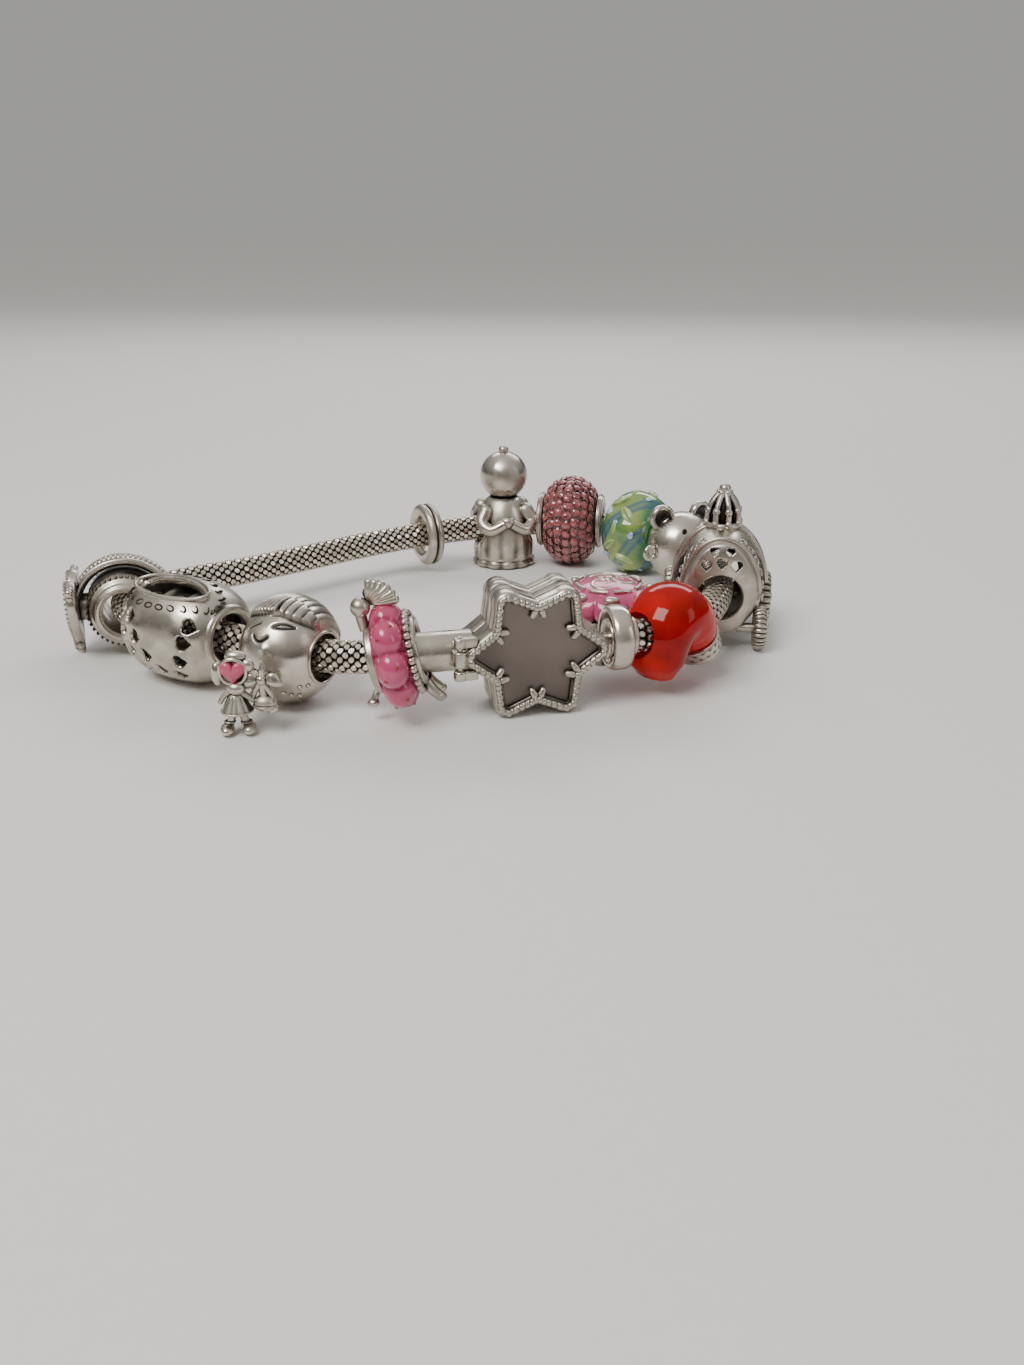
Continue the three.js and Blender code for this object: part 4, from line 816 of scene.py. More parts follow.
stopperPlace = pathAt(stations["stopper"])
hookZ = cake["eyeHeight"] - stopperPlace[2]
hookReach = rings["stopperRadius"] + cake["eye"] / 2 - cake["wire"]
stopperHook = (0, math.sqrt(hookReach ** 2 - hookZ ** 2), hookZ)
stopper = [ringBead(rings["stopperLength"], rings["stopperRadius"], 0.9),
           eyelet(stopperHook, cake["eye"], cake["wire"], math.pi / 2)]
makePiece("stopperRing", strung("stopper", stopper), [brightSilver], ["stopper_ring"])
spacer = [ringBead(rings["spacerLength"], rings["spacerRadius"], 0.8, 0.3)]
makePiece("spacerRing", strung("spacer", spacer), [silver], ["spacer_ring"])
print("rings made")


# Iced cake.

# Cup: the radius grows with height and swings with the pleats, deeper towards the scalloped rim.
def cakeCup():
    height = np.linspace(0, 1, 22)[:, None]
    turn = around(288)[None]
    pleat = np.abs(np.sin(cake["pleats"] * turn / 2))
    outer = cake["cupFoot"] + (cake["cupTop"] - cake["cupFoot"]) * height
    outer = outer * (1 - (0.05 + 0.06 * height) * (1 - pleat) ** 1.5)
    top = cake["cupHeight"] + 0.22 * (pleat - 0.6) * (height > 0.97)
    z = height * top
    foot = np.array([0.8, 0.97])[:, None] * outer[:1]
    reach = np.vstack([foot, outer, outer[-1:] * 0.93, outer[-1:] * 0.9])
    level = np.vstack([np.zeros((2, 288)), z, z[-1:] - 0.02, z[-1:] - 0.5])
    mark = np.vstack([np.zeros((2, 288)), (1 - pleat) ** 2 * np.ones_like(height), np.ones((2, 288))])
    return part(about("z", level, reach, turn), recess=mark)


# Icing: a scalloped dome; eight lobes swell at its foot and fade towards the crown.
def cakeIcing():
    rise = np.linspace(0, 1, 40)[:, None]
    turn = around(240)[None]
    lobe = np.abs(np.cos(cake["lobes"] * turn / 2)) ** 0.7
    crown = np.sqrt(np.maximum(1 - np.maximum(rise - 0.25, 0) ** 2 / 0.57, 0.0025))
    body = crown * np.where(rise < 0.25, 0.86 + 0.14 * np.sin(rise / 0.25 * np.pi / 2), 1)
    reach = cake["topRadius"] * body * (1 - 0.13 * (1 - lobe) * (1 - rise ** 2))
    level = cake["cupHeight"] + 0.3 + cake["icingHeight"] * rise - 0.35 * (1 - rise) * lobe
    reach, level = np.vstack([reach[:1] * 0.7, reach]), np.vstack([level[:1] + 0.25, level])
    return part(about("z", level, reach, turn), recess=np.vstack([1 - lobe, (1 - lobe) * (1 - rise)]) * 0.5)


# Silver on the icing: ovals lying on the lobes, bars between them, and scrolls on the crown.
def cakeTrim():
    base, top = cake["cupHeight"] + 0.3, cake["cupHeight"] + 0.3 + cake["icingHeight"]
    parts = []
    for facing in around(cake["lobes"]):
        oval = turnedAbout("z", math.degrees(facing) + 90, [ovoid((0, 0, 0), (0.78, 0.5, 0.42))])
        parts += moved(oval, about("z", base + 2.2, 4.12, facing))
        span = facing + math.pi / cake["lobes"] + np.linspace(-0.3, 0.3, 14)
        parts.append(tube(about("z", base + 2.72, 3.15, span), 0.22, 10))
    turn = np.linspace(0, 2.6 * np.pi, 60)
    for facing in around(3):
        path = about("z", top - 0.12, 0.2 + 0.16 * turn, turn + facing) + about("z", 0, 1.2, facing)
        path[:, 2] -= 0.055 * (path[:, 0] ** 2 + path[:, 1] ** 2)
        parts.append(tube(path, 0.2 * np.sin(np.linspace(0.25, np.pi - 0.25, 60)) + 0.06, 10))
    return parts + [ovoid((0, 0, top - 0.1), (0.55, 0.55, 0.4), 18)]


cakeSpot = np.array([cake["x"], cake["y"], 0.0])
stopperWorld = spotOn("stopper", stopperHook)
towards = (stopperWorld - cakeSpot)[:2] / np.linalg.norm((stopperWorld - cakeSpot)[:2])
slope = cake["cupFoot"] + (cake["cupTop"] - cake["cupFoot"]) * cake["eyeHeight"] / cake["cupHeight"]
cakeReach = slope + cake["eye"] / 2 - cake["wire"]
cakeEye = np.array([*(cakeReach * towards), cake["eyeHeight"]])


# Oval jump ring lying between two eyelets.
def jumpRing(start, end, wire):
    middle, across = (np.asarray(start) + end) / 2, np.asarray(end) - start
    first = across / np.linalg.norm(across)
    second = np.array([-first[1], first[0], 0]) * 0.7
    return ring(middle, np.linalg.norm(across) / 2, wire / 2, first, second, 64, 14)


cakeAxis = math.atan2(towards[1], towards[0])
cup = [cakeCup(), eyelet(cakeEye, cake["eye"], cake["wire"], cakeAxis)]
makePiece("cakeCup", moved(cup, cakeSpot + shift), [darkSilver], ["cake_cup"])
makePiece("cakeIcing", moved([cakeIcing()], cakeSpot + shift), [icingEnamel], ["cake_icing"])
makePiece("cakeTrim", moved(cakeTrim(), cakeSpot + shift), [silver])
makePiece("cakeRing", moved([jumpRing(stopperWorld, cakeSpot + cakeEye, cake["ring"])], shift), [silver],
          ["cake_ring"])
print("cake made")


# Red stocking.

stocking = dict(length=8.8, height=9.8, thickness=7.2, cuffStart=0.35, cuff=1.9, top=1.2,
                rows=[(-0.5, -0.72, 0.24, 0.6), (-0.52, -0.42, 0.46, 0.86), (-0.42, 0.08, 0.58, 0.97),
                      (-0.06, 0.34, 0.62, 1), (0.32, 0.14, 0.6, 0.97), (0.52, -0.12, 0.52, 0.88)])


# Bent body: ellipses square to a curve of centres, each with its reach in the bend's plane and along Y.
def bentBody(centres, reaches, startCap, endCap, sides=64):
    curve, reach = smoothCurve(centres, 10), smoothCurve(reaches, 10)
    along = np.gradient(curve, axis=0)
    along /= np.linalg.norm(along, axis=1)[:, None]
    capTurn = np.linspace(0.08, 1, 7)[:-1] * np.pi / 2
    caps = [[(curve[k] + way * along[k] * reachOut * math.cos(t), along[k], reach[k] * math.sin(t))
             for t in capTurn] for k, way, reachOut in ((0, -1, startCap), (-1, 1, endCap))]
    rows = caps[0] + list(zip(curve, along, reach)) + caps[1][::-1]
    c, a, r = (np.array(column)[:, None] for column in zip(*rows))
    inPlane, across = r[..., 0] * np.cos(around(sides)), r[..., 1] * np.sin(around(sides))
    return part(np.stack([c[..., 0] - a[..., 1] * inPlane, across, c[..., 1] + a[..., 0] * inPlane], -1))


def stockingSleeve(origin, lean, start, end, scaleStart, scaleEnd, dots):
    h, w = stocking["height"] / 2, stocking["thickness"] / 2
    share = np.linspace(0, 1, 26)[:, None]
    turn = around(160)[None]
    place = start + (end - start) * share
    scale = scaleStart + (scaleEnd - scaleStart) * share
    edge = np.minimum(share, 1 - share)
    scale = scale * (1 - 0.05 * np.exp(-(edge / 0.07) ** 2))
    dimple = np.zeros_like(scale * turn)
    if dots:
        for row, offset in ((0.3, 0), (0.7, math.pi / 20)):
            away = ((turn - offset) * 20 / (2 * np.pi) + 0.5) % 1 - 0.5
            dimple = np.maximum(dimple, np.exp(-(share - row) ** 2 / 0.008 - away ** 2 / 0.05))
        scale = scale * (1 + 0.04 * np.exp(-((edge - 0.06) / 0.05) ** 2)) - 0.05 * dimple
    inPlane, across = scale * 0.5 * h * np.cos(turn), scale * 0.86 * w * np.sin(turn)
    x = origin[0] + lean[0] * place - lean[1] * inPlane
    z = origin[1] + lean[1] * place + lean[0] * inPlane
    return part(np.stack([x, across + 0 * x, z], -1), recess=dimple)


def stockingPieces():
    l, h, w = stocking["length"] / 2, stocking["height"] / 2, stocking["thickness"] / 2
    rows = np.array(stocking["rows"])
    centres, reaches = rows[:, :2] * (l, h), rows[:, 2:] * (h, w)
    lean = np.array([0.62, -0.78])
    start, end = stocking["cuffStart"], stocking["cuffStart"] + stocking["cuff"]
    shapes = (("stockingBody", bentBody(centres, reaches, 0.5, 0.12), redGlass, "red_glass", "stocking_body"),
              ("stockingCuff", stockingSleeve(centres[-1], lean, start, end, 1.04, 0.94, True), silver,
               "silver", "stocking_cuff"),
              ("stockingTop",
               stockingSleeve(centres[-1], lean, end + 0.12, end + stocking["top"], 0.84, 0.6, False),
               redGlass, "red_glass", "stocking_top"))
    pieces = [makePiece(name, strung("stocking", [shape]), [material], [node])
              for name, shape, material, slot, node in shapes]
    for piece in pieces:
        boreOut(piece, "stocking", 7.5)


stockingPieces()
print("stocking made")


# Coach.

coach = dict(length=9.6, width=9.4, height=10.4, wall=0.7, roofShare=0.62, baseShare=0.38, crownHeight=4.2,
             frontWheel=4.4, rearWheel=5.8, wheelBreadth=1.3, heart=0.5, boreHole=2.35)


# Coach's half width and roof at a share of its half length.
def coachReach(share, roof):
    return coach["width"] / 2 * (1 - 0.24 * share ** 2), roof * (1 - 0.16 * share ** 2)


# Coach's skin: arched sections, tall above the axle line and shallow below, swelling at the middle;
# the first and last fifth of u close its two flat ends.
def coachSkin(u, v):
    half = coach["length"] / 2
    side = np.clip((u - 0.2) / 0.6, 0, 1) * 2 - 1
    x = half * np.sign(side) * (1 - (1 - np.abs(side)) ** 1.15)
    share = x / half
    close = np.clip(np.minimum(u, 1 - u) / 0.2, 0, 1)
    close = np.where(close < 1, 0.28 + 0.72 * close, 1)
    bulge = 0.14 * half * np.sqrt(np.maximum(1 - close ** 2, 0))
    x = x + np.sign(share) * bulge
    width, roof = coachReach(share, coach["height"] * coach["roofShare"])
    base = coach["height"] * coach["baseShare"]
    turn = 2 * np.pi * v
    z = np.where(np.cos(turn) > 0, roof, base) * np.cos(turn)
    y = -width * np.sin(turn)
    return np.stack([x, y * close, z * close], -1)


# Distance from a heart's edge, below zero inside: a quarter circle's lobe above the diagonal, and below it
# the nearer of the dip between the lobes and the straight side that runs down to the point.
def heartEdge(a, b, size):
    unit = 1.42 * size
    x, y = np.abs(a) / unit, b / unit + 0.55
    lobe = np.hypot(x - 0.25, y - 0.75) - math.sqrt(2) / 4
    half = np.maximum(x + y, 0) / 2
    side = np.minimum(np.hypot(x, y - 1), np.hypot(x - half, y - half)) * np.sign(x - y)
    return np.where(x + y > 1, lobe, side) * unit - 0.16 * size


def coachHoles(points):
    x, y, z = points[..., 0], points[..., 1], points[..., 2]
    end = np.abs(x) - (coach["length"] / 2 - 0.35)
    gap = np.where(end > 0, np.hypot(y, z) - coach["boreHole"], 9)
    for across, height, size in ((-1.5, 3.25, 1.1), (0, 3.5, 1.1), (1.5, 3.25, 1.1), (-0.8, 4.65, 0.9),
                                 (0.8, 4.65, 0.9)):
        cut = heartEdge(y - across, z - height, coach["heart"] * size)
        gap = np.minimum(gap, np.where(end > -0.1, cut, 9))
    for place in (-1, 1):
        a, b = (x - place * 2.1) / 1.3, (z - 0.7) / 3.4
        lens = (np.abs(a) + b * b - 1) * 0.9
        gap = np.minimum(gap, np.where(np.abs(y) > 2.2, lens, 9))
    return np.minimum(gap, np.where(z > 4.5, np.hypot(x, y) - 1.35, 9))


def coachTrim():
    half, roof = coach["length"] / 2, coach["height"] * coach["roofShare"]
    ground = groundOf("coach")
    crest = roof + coach["crownHeight"] - 0.75
    parts = []
    for facing in around(8, 0.3):  # ribs of the crown, with balls along them
        path = [about("z", roof + rise, reach, facing)
                for reach, rise in ((1.45, -0.25), (1.65, 0.8), (1.35, 1.9), (0.7, 2.8), (0.15, 3.3))]
        parts.append(tube(smoothCurve(path, 8), 0.3, 10))
        parts += [ball(about("z", roof + rise, reach, facing), size, count) for reach, rise, size, count in
                  ((1.55, 1.35, 0.42, 14), (1.05, 2.35, 0.32, 12), (1.72, 0.1, 0.42, 14))]
    # The ovoid inside the crown's ribs carries recess 1 and goes dark: painted shade in the crown's open
    # interior.
    parts += [ring((0, 0, roof - 0.1), 1.62, 0.32),
              ovoid((0, 0, roof + 0.9), (1.25, 1.25, 1.8), 32, recess=1.0),
              ball((0, 0, crest), 0.62), balls(about("z", crest - 0.35, 0.55, around(5)), 0.36, 14)]
    for side in (-1, 1):
        for across, wire in ((0.55, 0.26), (4.05, 0.24)):  # raised bands over the roof
            turn = np.linspace(-1.5, 1.5, 60)
            width, top = coachReach(across / half, roof)
            path = np.column_stack([np.full(60, side * across), -(width + 0.06) * np.sin(turn),
                                    (top + 0.06) * np.cos(turn)])
            parts.append(tube(path, wire, 10))
        width, top = coachReach(0.28, roof)
        for angle in np.radians(np.arange(28, 100, 13)):  # engraved rounds on the band between
            for face in (-1, 1):
                centre = (side * 3.55, face * width * 0.93 * math.sin(angle), top * 0.95 * math.cos(angle))
                out = np.array([0.25 * side, face * math.sin(angle), math.cos(angle)])
                out /= np.linalg.norm(out)
                first = np.cross(out, (1, 0, 0))
                first /= np.linalg.norm(first)
                parts.append(ring(centre, 0.34, 0.1, first, np.cross(out, first), 20, 8))
        parts.append(collar(side * (half + 0.12), coach["boreHole"] + 0.2, 0.34))
    for end, diameter, out in ((-1, coach["frontWheel"], 0.1), (1, coach["rearWheel"], 0.9)):
        radius = diameter / 2
        x, z = end * (half - 0.6), ground + radius
        inner = coach["width"] * 0.37 + out
        for side in (-1, 1):
            parts += wheel((x, side * (inner + coach["wheelBreadth"] / 2), z), radius, coach["wheelBreadth"],
                           side)
            parts.append(rod((x, side * coach["width"] * 0.2, z), (x, side * (inner + 1.6), z), 0.5))
    return parts + [rod((-half + 0.4, 0, -3.6), (half - 0.4, 0, -3.6), 0.55, sides=14)]


# Wheel: a rim with a roped edge, a hub, six round spokes and a ring of dots.
def wheel(centre, radius, breadth, side):
    centre, turn = np.array(centre), around(160)[:, None]
    rope = 0.07 * np.sin(26 * turn)
    section = around(20)[None]
    reach = radius - 0.5 + (0.5 + rope) * np.cos(section)
    grid = about("y", (breadth / 2 + 0.3 * rope) * np.sin(section), reach, turn)
    parts = [part(grid + centre, wrapRows=True, recess=np.maximum(-rope / 0.07, 0) * (np.cos(section) > 0.2)),
             ovoid(centre + (0, side * 0.15, 0), (0.75, breadth / 2 + 0.15, 0.75))]
    parts += [tube([centre, centre + about("y", 0, radius - 0.4, angle)], 0.3, 10)
              for angle in around(6, 0.3)]
    dots = centre + about("y", side * (breadth / 2 - 0.05), radius - 0.5, around(14))
    return parts + [balls(dots, 0.16, 8)]


shell = makePiece("coachShell", strung("coach", [pierced(coachSkin, coachHoles, 180, 230)]),
                  [silver, insideShadeSilver], ["coach"])
thicken(shell, coach["wall"], rim=1)
makePiece("coachTrim", strung("coach", coachTrim()), [silver])
print("coach made")


# Bear's head.

bear = dict(length=7.4, radius=4.1, ear=1.55, eyelet=1.9, wire=0.55, bore=2.15)


# Bead closed through its bore: the outside is an ellipse cut off at the bore's radius, and the bore is
# the inside.
def ellipseProfile(half, radius, bore, count=60, power=1.0):
    start = math.asin(min(bore / radius, 1)) if power == 1 else 0.35
    angle = np.linspace(start, np.pi - start, count)
    outer = np.column_stack([-half * np.cos(angle), radius * np.sin(angle) ** power])
    outer[:, 1] = np.maximum(outer[:, 1], bore)
    inner = np.column_stack([np.linspace(outer[-1, 0], outer[0, 0], 8)[1:-1], np.full(6, bore)])
    return np.vstack([outer, inner])


def bearHead():
    r, ear = bear["radius"], bear["ear"]
    parts = [turned(ellipseProfile(bear["length"] / 2, r, bear["bore"]), sides=96, closed=True)]
    for side in (-1, 1):
        cup = eased([(0.75, 0.05), (0.68, ear * 0.6), (0.25, ear), (-0.35, ear), (-0.62, ear * 0.86),
                     (-0.55, ear * 0.7), (-0.1, ear * 0.5), (0.05, 0.05)], 0.3, steps=5)
        marks = np.interp(np.arange(len(cup)) / len(cup), [0, 0.6, 0.8, 1], [0, 0, 0.9, 1])[:, None]
        shape = turnedAbout("z", -side * 8, [turned(cup, sides=48, recess=marks)])
        parts += moved(shape, (0.1 * r, side * r * 0.64, r * 0.88))
        foot, top = (0.1 * r, side * r * 0.4, r * 0.6), (0.1 * r, side * r * 0.6, r * 0.84)
        parts.append(rod(foot, top, 0.9, 0.7, 18))
    length = bear["length"]
    parts += [ovoid((-length * 0.4, 0, -r * 0.62), (r * 0.26, r * 0.42, r * 0.26), 28),
              ovoid((-length * 0.5, 0, -r * 0.52), (0.22, 0.42, 0.26), 16, recess=0.8)]
    parts += [ovoid((-length * 0.375, side * r * 0.36, r * 0.62), (0.22, 0.3, 0.34), 16, recess=1.0)
              for side in (-1, 1)]
    return parts + [ring((-0.6, r + bear["eyelet"] * 0.28, -0.2), (bear["eyelet"] - bear["wire"]) / 2,
                         bear["wire"] / 2, (0, 1, 0), (0, 0, 1), 40, 14)]


makePiece("bearHead", strung("bear", bearHead()), [brightSilver], ["bear_head"])
print("bear made")


# Green glass bead.

green = dict(length=6.8, radius=4.9, bumps=5, bore=2.15, leafRise=0.32)


def greenBead():
    half = green["length"] / 2
    angle = np.linspace(0.42, np.pi - 0.42, 60)
    outer = np.column_stack([-half * np.cos(angle) / math.cos(0.42),
                             green["radius"] * 0.99 * np.sin(angle) ** 0.55])
    end = eased([(half, green["radius"] * 0.6), (half, green["bore"]), (-half, green["bore"]),
                 (-half, green["radius"] * 0.6)], 0.3)[1:-1]
    profile = np.vstack([outer, end])
    turn = around(160)[None]
    along = profile[:, 0][:, None]
    swell = np.cos(green["bumps"] * turn) * 0.22 * np.cos(along / half * np.pi / 2)
    wave = np.sin(turn * green["bumps"] + 1.4 * along)
    stripe = np.exp(-((wave - 0.7) / 0.34) ** 2) * 0.85 * (np.abs(along) < half * 0.96)
    deep = np.clip((np.abs(along) / half - 0.55) * 1.6, 0, 1) + 0 * turn
    swell = np.where(profile[:, 1:] > green["bore"] + 0.5, swell, 0)
    return turned(profile, sides=160, closed=True, relief=swell, recess=deep, tint=stripe)


# Leaf: a pointed oval, ribbed along its middle, bent over the bead; its frame is the bead's surface.
def leafAt(x, turn, length, width, twist):
    u = np.linspace(-1, 1, 22)[:, None]
    v = np.linspace(-1, 1, 13)[None]
    reach = width * (1 - u ** 2) ** 0.7
    a, b = length * u, reach * v
    along = x + a * math.cos(twist) - b * math.sin(twist)
    across = a * math.sin(twist) + b * math.cos(twist)
    half = green["length"] / 2
    surface = green["radius"] * np.maximum(1 - (along / half / 1.09) ** 2, 0.05) ** 0.275
    rise = green["leafRise"] * (1 - v ** 4) * (1 - u ** 4) * (1 - 0.45 * np.exp(-(v / 0.16) ** 2))
    angle = turn + across / green["radius"]
    top, low = (about("x", along, surface + lift, angle) for lift in (rise, -0.25))
    rib = np.exp(-(v / 0.2) ** 2) * np.ones_like(u)
    return part(np.concatenate([top, low[:, ::-1]], 1), recess=np.concatenate([rib, rib[:, ::-1]], 1))


def greenLeaves():
    rows = ((-0.9, 0, 1.35, 0.62, 0.7), (1.1, 0.42, 1.25, 0.55, -0.6), (0.3, 0.85, 0.9, 0.42, 1.7))
    return [leafAt(x, turn + offset, length, width, twist)
            for turn in around(green["bumps"], 0.35) for x, offset, length, width, twist in rows]


def greenCrystals():
    places = []
    for start in around(green["bumps"], 0.35):
        for x, offset in ((-1.9, 0.75), (0.2, 1.0), (1.9, 0.05)):
            surface = green["radius"] * (1 - (x / 3.7) ** 2) ** 0.275 - 0.02
            out = about("x", 0, 1, start + offset)
            side = np.cross(out, (1, 0, 0))
            places.append([out * surface + (x, 0, 0), (0.48, 0, 0), side * 0.48, out * 0.48])
    return [scattered(cutStone(), places)]


# Cut stone of unit radius: an eight-sided table over eight kite faces and a girdle, its point downwards.
def cutStone(table=0.55, crown=0.42, girdle=0.1, depth=0.5):
    turn = around(8)[None]
    radii = np.array([table, 1.0, 1.0, 0.35])[:, None]
    levels = np.array([crown, girdle, 0.0, -depth])[:, None]
    twist = np.array([np.pi / 8, 0, 0, 0])[:, None]
    grid = np.stack([radii * np.cos(turn + twist), radii * np.sin(turn + twist), levels + 0 * turn], -1)
    return part(grid, smooth=False)


makePiece("greenBead", strung("green", [greenBead()]), [greenGlass], ["green_bead"])
makePiece("greenLeaves", strung("green", greenLeaves()), [leafGlass])
makePiece("greenCrystals", strung("green", greenCrystals()), [paleStone])
print("green bead made")


# Bead set with small stones.

pave = dict(length=8.2, radius=5.5, flange=3.3, flangeLength=0.8, lift=0.25, gap=0.3, stone=0.62, bore=2.15)


def paveBody():
    seat = pave["length"] / 2 - pave["flangeLength"] - pave["gap"]
    top = pave["radius"] - 0.22
    angle = np.linspace(0.5, np.pi - 0.5, 50)
    outer = np.column_stack([-seat * np.cos(angle) / math.cos(0.5), top * np.sin(angle) ** 0.6])
    hole = pave["bore"] + 0.8
    inner = np.array([(seat, top * 0.5), (seat, hole), (-seat, hole), (-seat, top * 0.5)])
    body = turned(np.vstack([outer, inner]), sides=96, closed=True, recess=0.6, slot=1)
    places, grains = [], []
    pitch = pave["stone"] * 1.9
    length = np.concatenate([[0], np.cumsum(np.hypot(*np.diff(outer, axis=0).T))])
    rows = int(length[-1] / (pitch * 0.9))
    for row in range(rows):
        s = (row + 0.5) / rows * length[-1]
        x, r = np.interp(s, length, outer[:, 0]), np.interp(s, length, outer[:, 1])
        slope = np.array([np.interp(s + 0.1, length, outer[:, k]) - np.interp(s - 0.1, length, outer[:, k])
                          for k in (0, 1)])
        slope /= np.linalg.norm(slope)
        count = int(2 * math.pi * r / pitch)
        for k in range(count):
            turn = 2 * math.pi * (k + 0.5 * (row % 2)) / count
            radial = about("x", 0, 1, turn)
            out = -slope[1] * np.array([1, 0, 0]) + slope[0] * radial
            side = np.cross(radial, (1, 0, 0))
            ahead = np.cross(side, out)
            centre = radial * r + (x, 0, 0)
            tilt = 0.22 * math.sin(7.3 * k + 2.1 * row), 0.22 * math.cos(5.1 * k + 3.7 * row)
            stoneOut = out + tilt[0] * ahead + tilt[1] * side
            stoneOut /= np.linalg.norm(stoneOut)
            first = np.cross(side, stoneOut)
            size = pave["stone"] * (0.94 + 0.08 * math.sin(3.3 * k + row))
            places.append([centre, first * size, np.cross(stoneOut, first) * size, stoneOut * size])
            radial = about("x", 0, 1, turn + math.pi / count)
            out = -slope[1] * np.array([1, 0, 0]) + slope[0] * radial
            for lean in (-0.26, 0.26):
                grains.append(radial * r + (x, 0, 0) + out * 0.16 + ahead * lean)
    stones = scattered(cutStone(), places)
    return [body, stones, dict(balls(grains, 0.12, 6), slot=1)]


def paveCore():
    half, flange, bore = pave["length"] / 2, pave["flange"], pave["bore"]
    inner = half - pave["flangeLength"]
    tubeRadius = bore + 0.45
    profile = eased([(-half, bore), (-half, flange), (-inner, flange), (-inner, tubeRadius),
                     (inner, tubeRadius), (inner, flange), (half, flange), (half, bore)], 0.28, closed=True)
    beads = [collar(end * (half - 0.4), flange - 0.02, 0.14, 72, 10) for end in (-1, 1)]
    return [turned(profile, sides=72, closed=True)] + beads


makePiece("paveBody", strung("pave", paveBody(), pave["lift"]), [roseStone, seatDark],
          ["pave_body"])
makePiece("paveCore", strung("pave", paveCore(), pave["lift"]), [silver], ["pave_core"])
print("stone bead made")


# Bell figure.

bell = dict(base=3.9, waist=2, head=2.95, headRise=6.4, knot=0.65, drop=4.9)


# Turned skirt flaring to a moulded foot, with a ball head, a knot of hair and two folded arms.
def bellFigure():
    base, waist, head = bell["base"], bell["waist"], bell["head"]
    bottom = max(-bell["drop"], groundOf("bell"))
    profile = smoothCurve([(bottom, 0.6), (bottom + 0.02, base * 0.9), (bottom + 0.3, base),
                           (bottom + 0.75, base * 0.98), (bottom + 0.95, base * 0.93),
                           (bottom + 1.2, base * 0.95), (-1.4, base * 0.96), (0.6, base * 0.88),
                           (2.4, waist * 1.4), (3.4, waist * 1.1),
                           (bell["headRise"] - head * 0.9, waist * 0.9)], 6)
    fold = np.clip((1.6 - profile[:, :1]) / 4, 0, 1) * 0.1
    wave = np.cos(12 * around(120)[None])
    parts = [turned(profile, "z", 120, relief=fold * wave * (profile[:, 1:] > 1),
                    recess=fold * 6 * np.maximum(-wave, 0)),
             ball((0, 0, bell["headRise"]), head, 64),
             ball((0, 0, bell["headRise"] + head + 0.12), bell["knot"])]
    for face in (-1, 1):  # arms bent over the front, meeting in joined hands, on both faces
        for side in (-1, 1):
            path = smoothCurve([(side * 2.5, face * base * 0.45, 2.2), (side * 3.1, face * base * 0.62, 0.9),
                                (side * 2.2, face * base * 0.86, 0.2),
                                (side * 0.45, face * base * 0.92, 1.0)], 8)
            parts += [tube(path, np.linspace(0.98, 0.6, len(path)), 18), ovoid(path[0], (1.0, 0.98, 1.0))]
        parts.append(ovoid((0, face * base * 0.9, 1.15), (0.9, 0.6, 0.7), 22))
    parts.append(ring((0, 0, bottom + 1.05), base * 0.9, 0.2, count=96, sides=10, recess=0.3))
    return parts


bellPiece = makePiece("bellFigure", strung("bell", bellFigure()), [silver], ["bell_figure"])
boreOut(bellPiece, "bell", 6.5, 2.2)
print("bell figure made")


# Pink lobed ring on its silver core.

lobed = dict(length=3.4, radius=4.9, lobes=8, half=1.45, puff=1.84, middle=3.06, tilt=-12, core=3.1, bore=2.3)


# Ring of rounded puffs: over each puff the reach is that of a ball set on a smaller circle, and never
# below the core.
def lobedRing():
    step = 2 * math.pi / lobed["lobes"]
    turn = around(256)[None]
    local = (turn + step / 2) % step - step / 2
    section = around(56)[:, None]
    along = lobed["half"] * np.cos(section)
    puff = np.maximum(1 - np.cos(section) ** 2, 0) * lobed["puff"] ** 2
    puff = puff - (lobed["middle"] * np.sin(local)) ** 2
    reach = lobed["middle"] * np.cos(local) + np.sqrt(np.maximum(puff, 0))
    inner = lobed["core"] + 0.2
    radius = np.where(np.sin(section) > 0, np.maximum(reach, inner), inner)
    crease = np.exp(-((np.abs(local) - step / 2) / 0.05) ** 2) * 0.8
    return part(about("x", along, radius, turn), wrapRows=True, recess=crease)


def lobedDots():
    places = []
    for x, lean in ((-0.55, 0.12), (0.6, -0.1)):
        reach = lobed["middle"] + lobed["puff"] * math.sqrt(1 - (x / lobed["half"]) ** 2) - 0.16
        places.append(about("x", x, reach, around(lobed["lobes"], lean)))
    return [balls(np.vstack(places), 0.21, 14)]


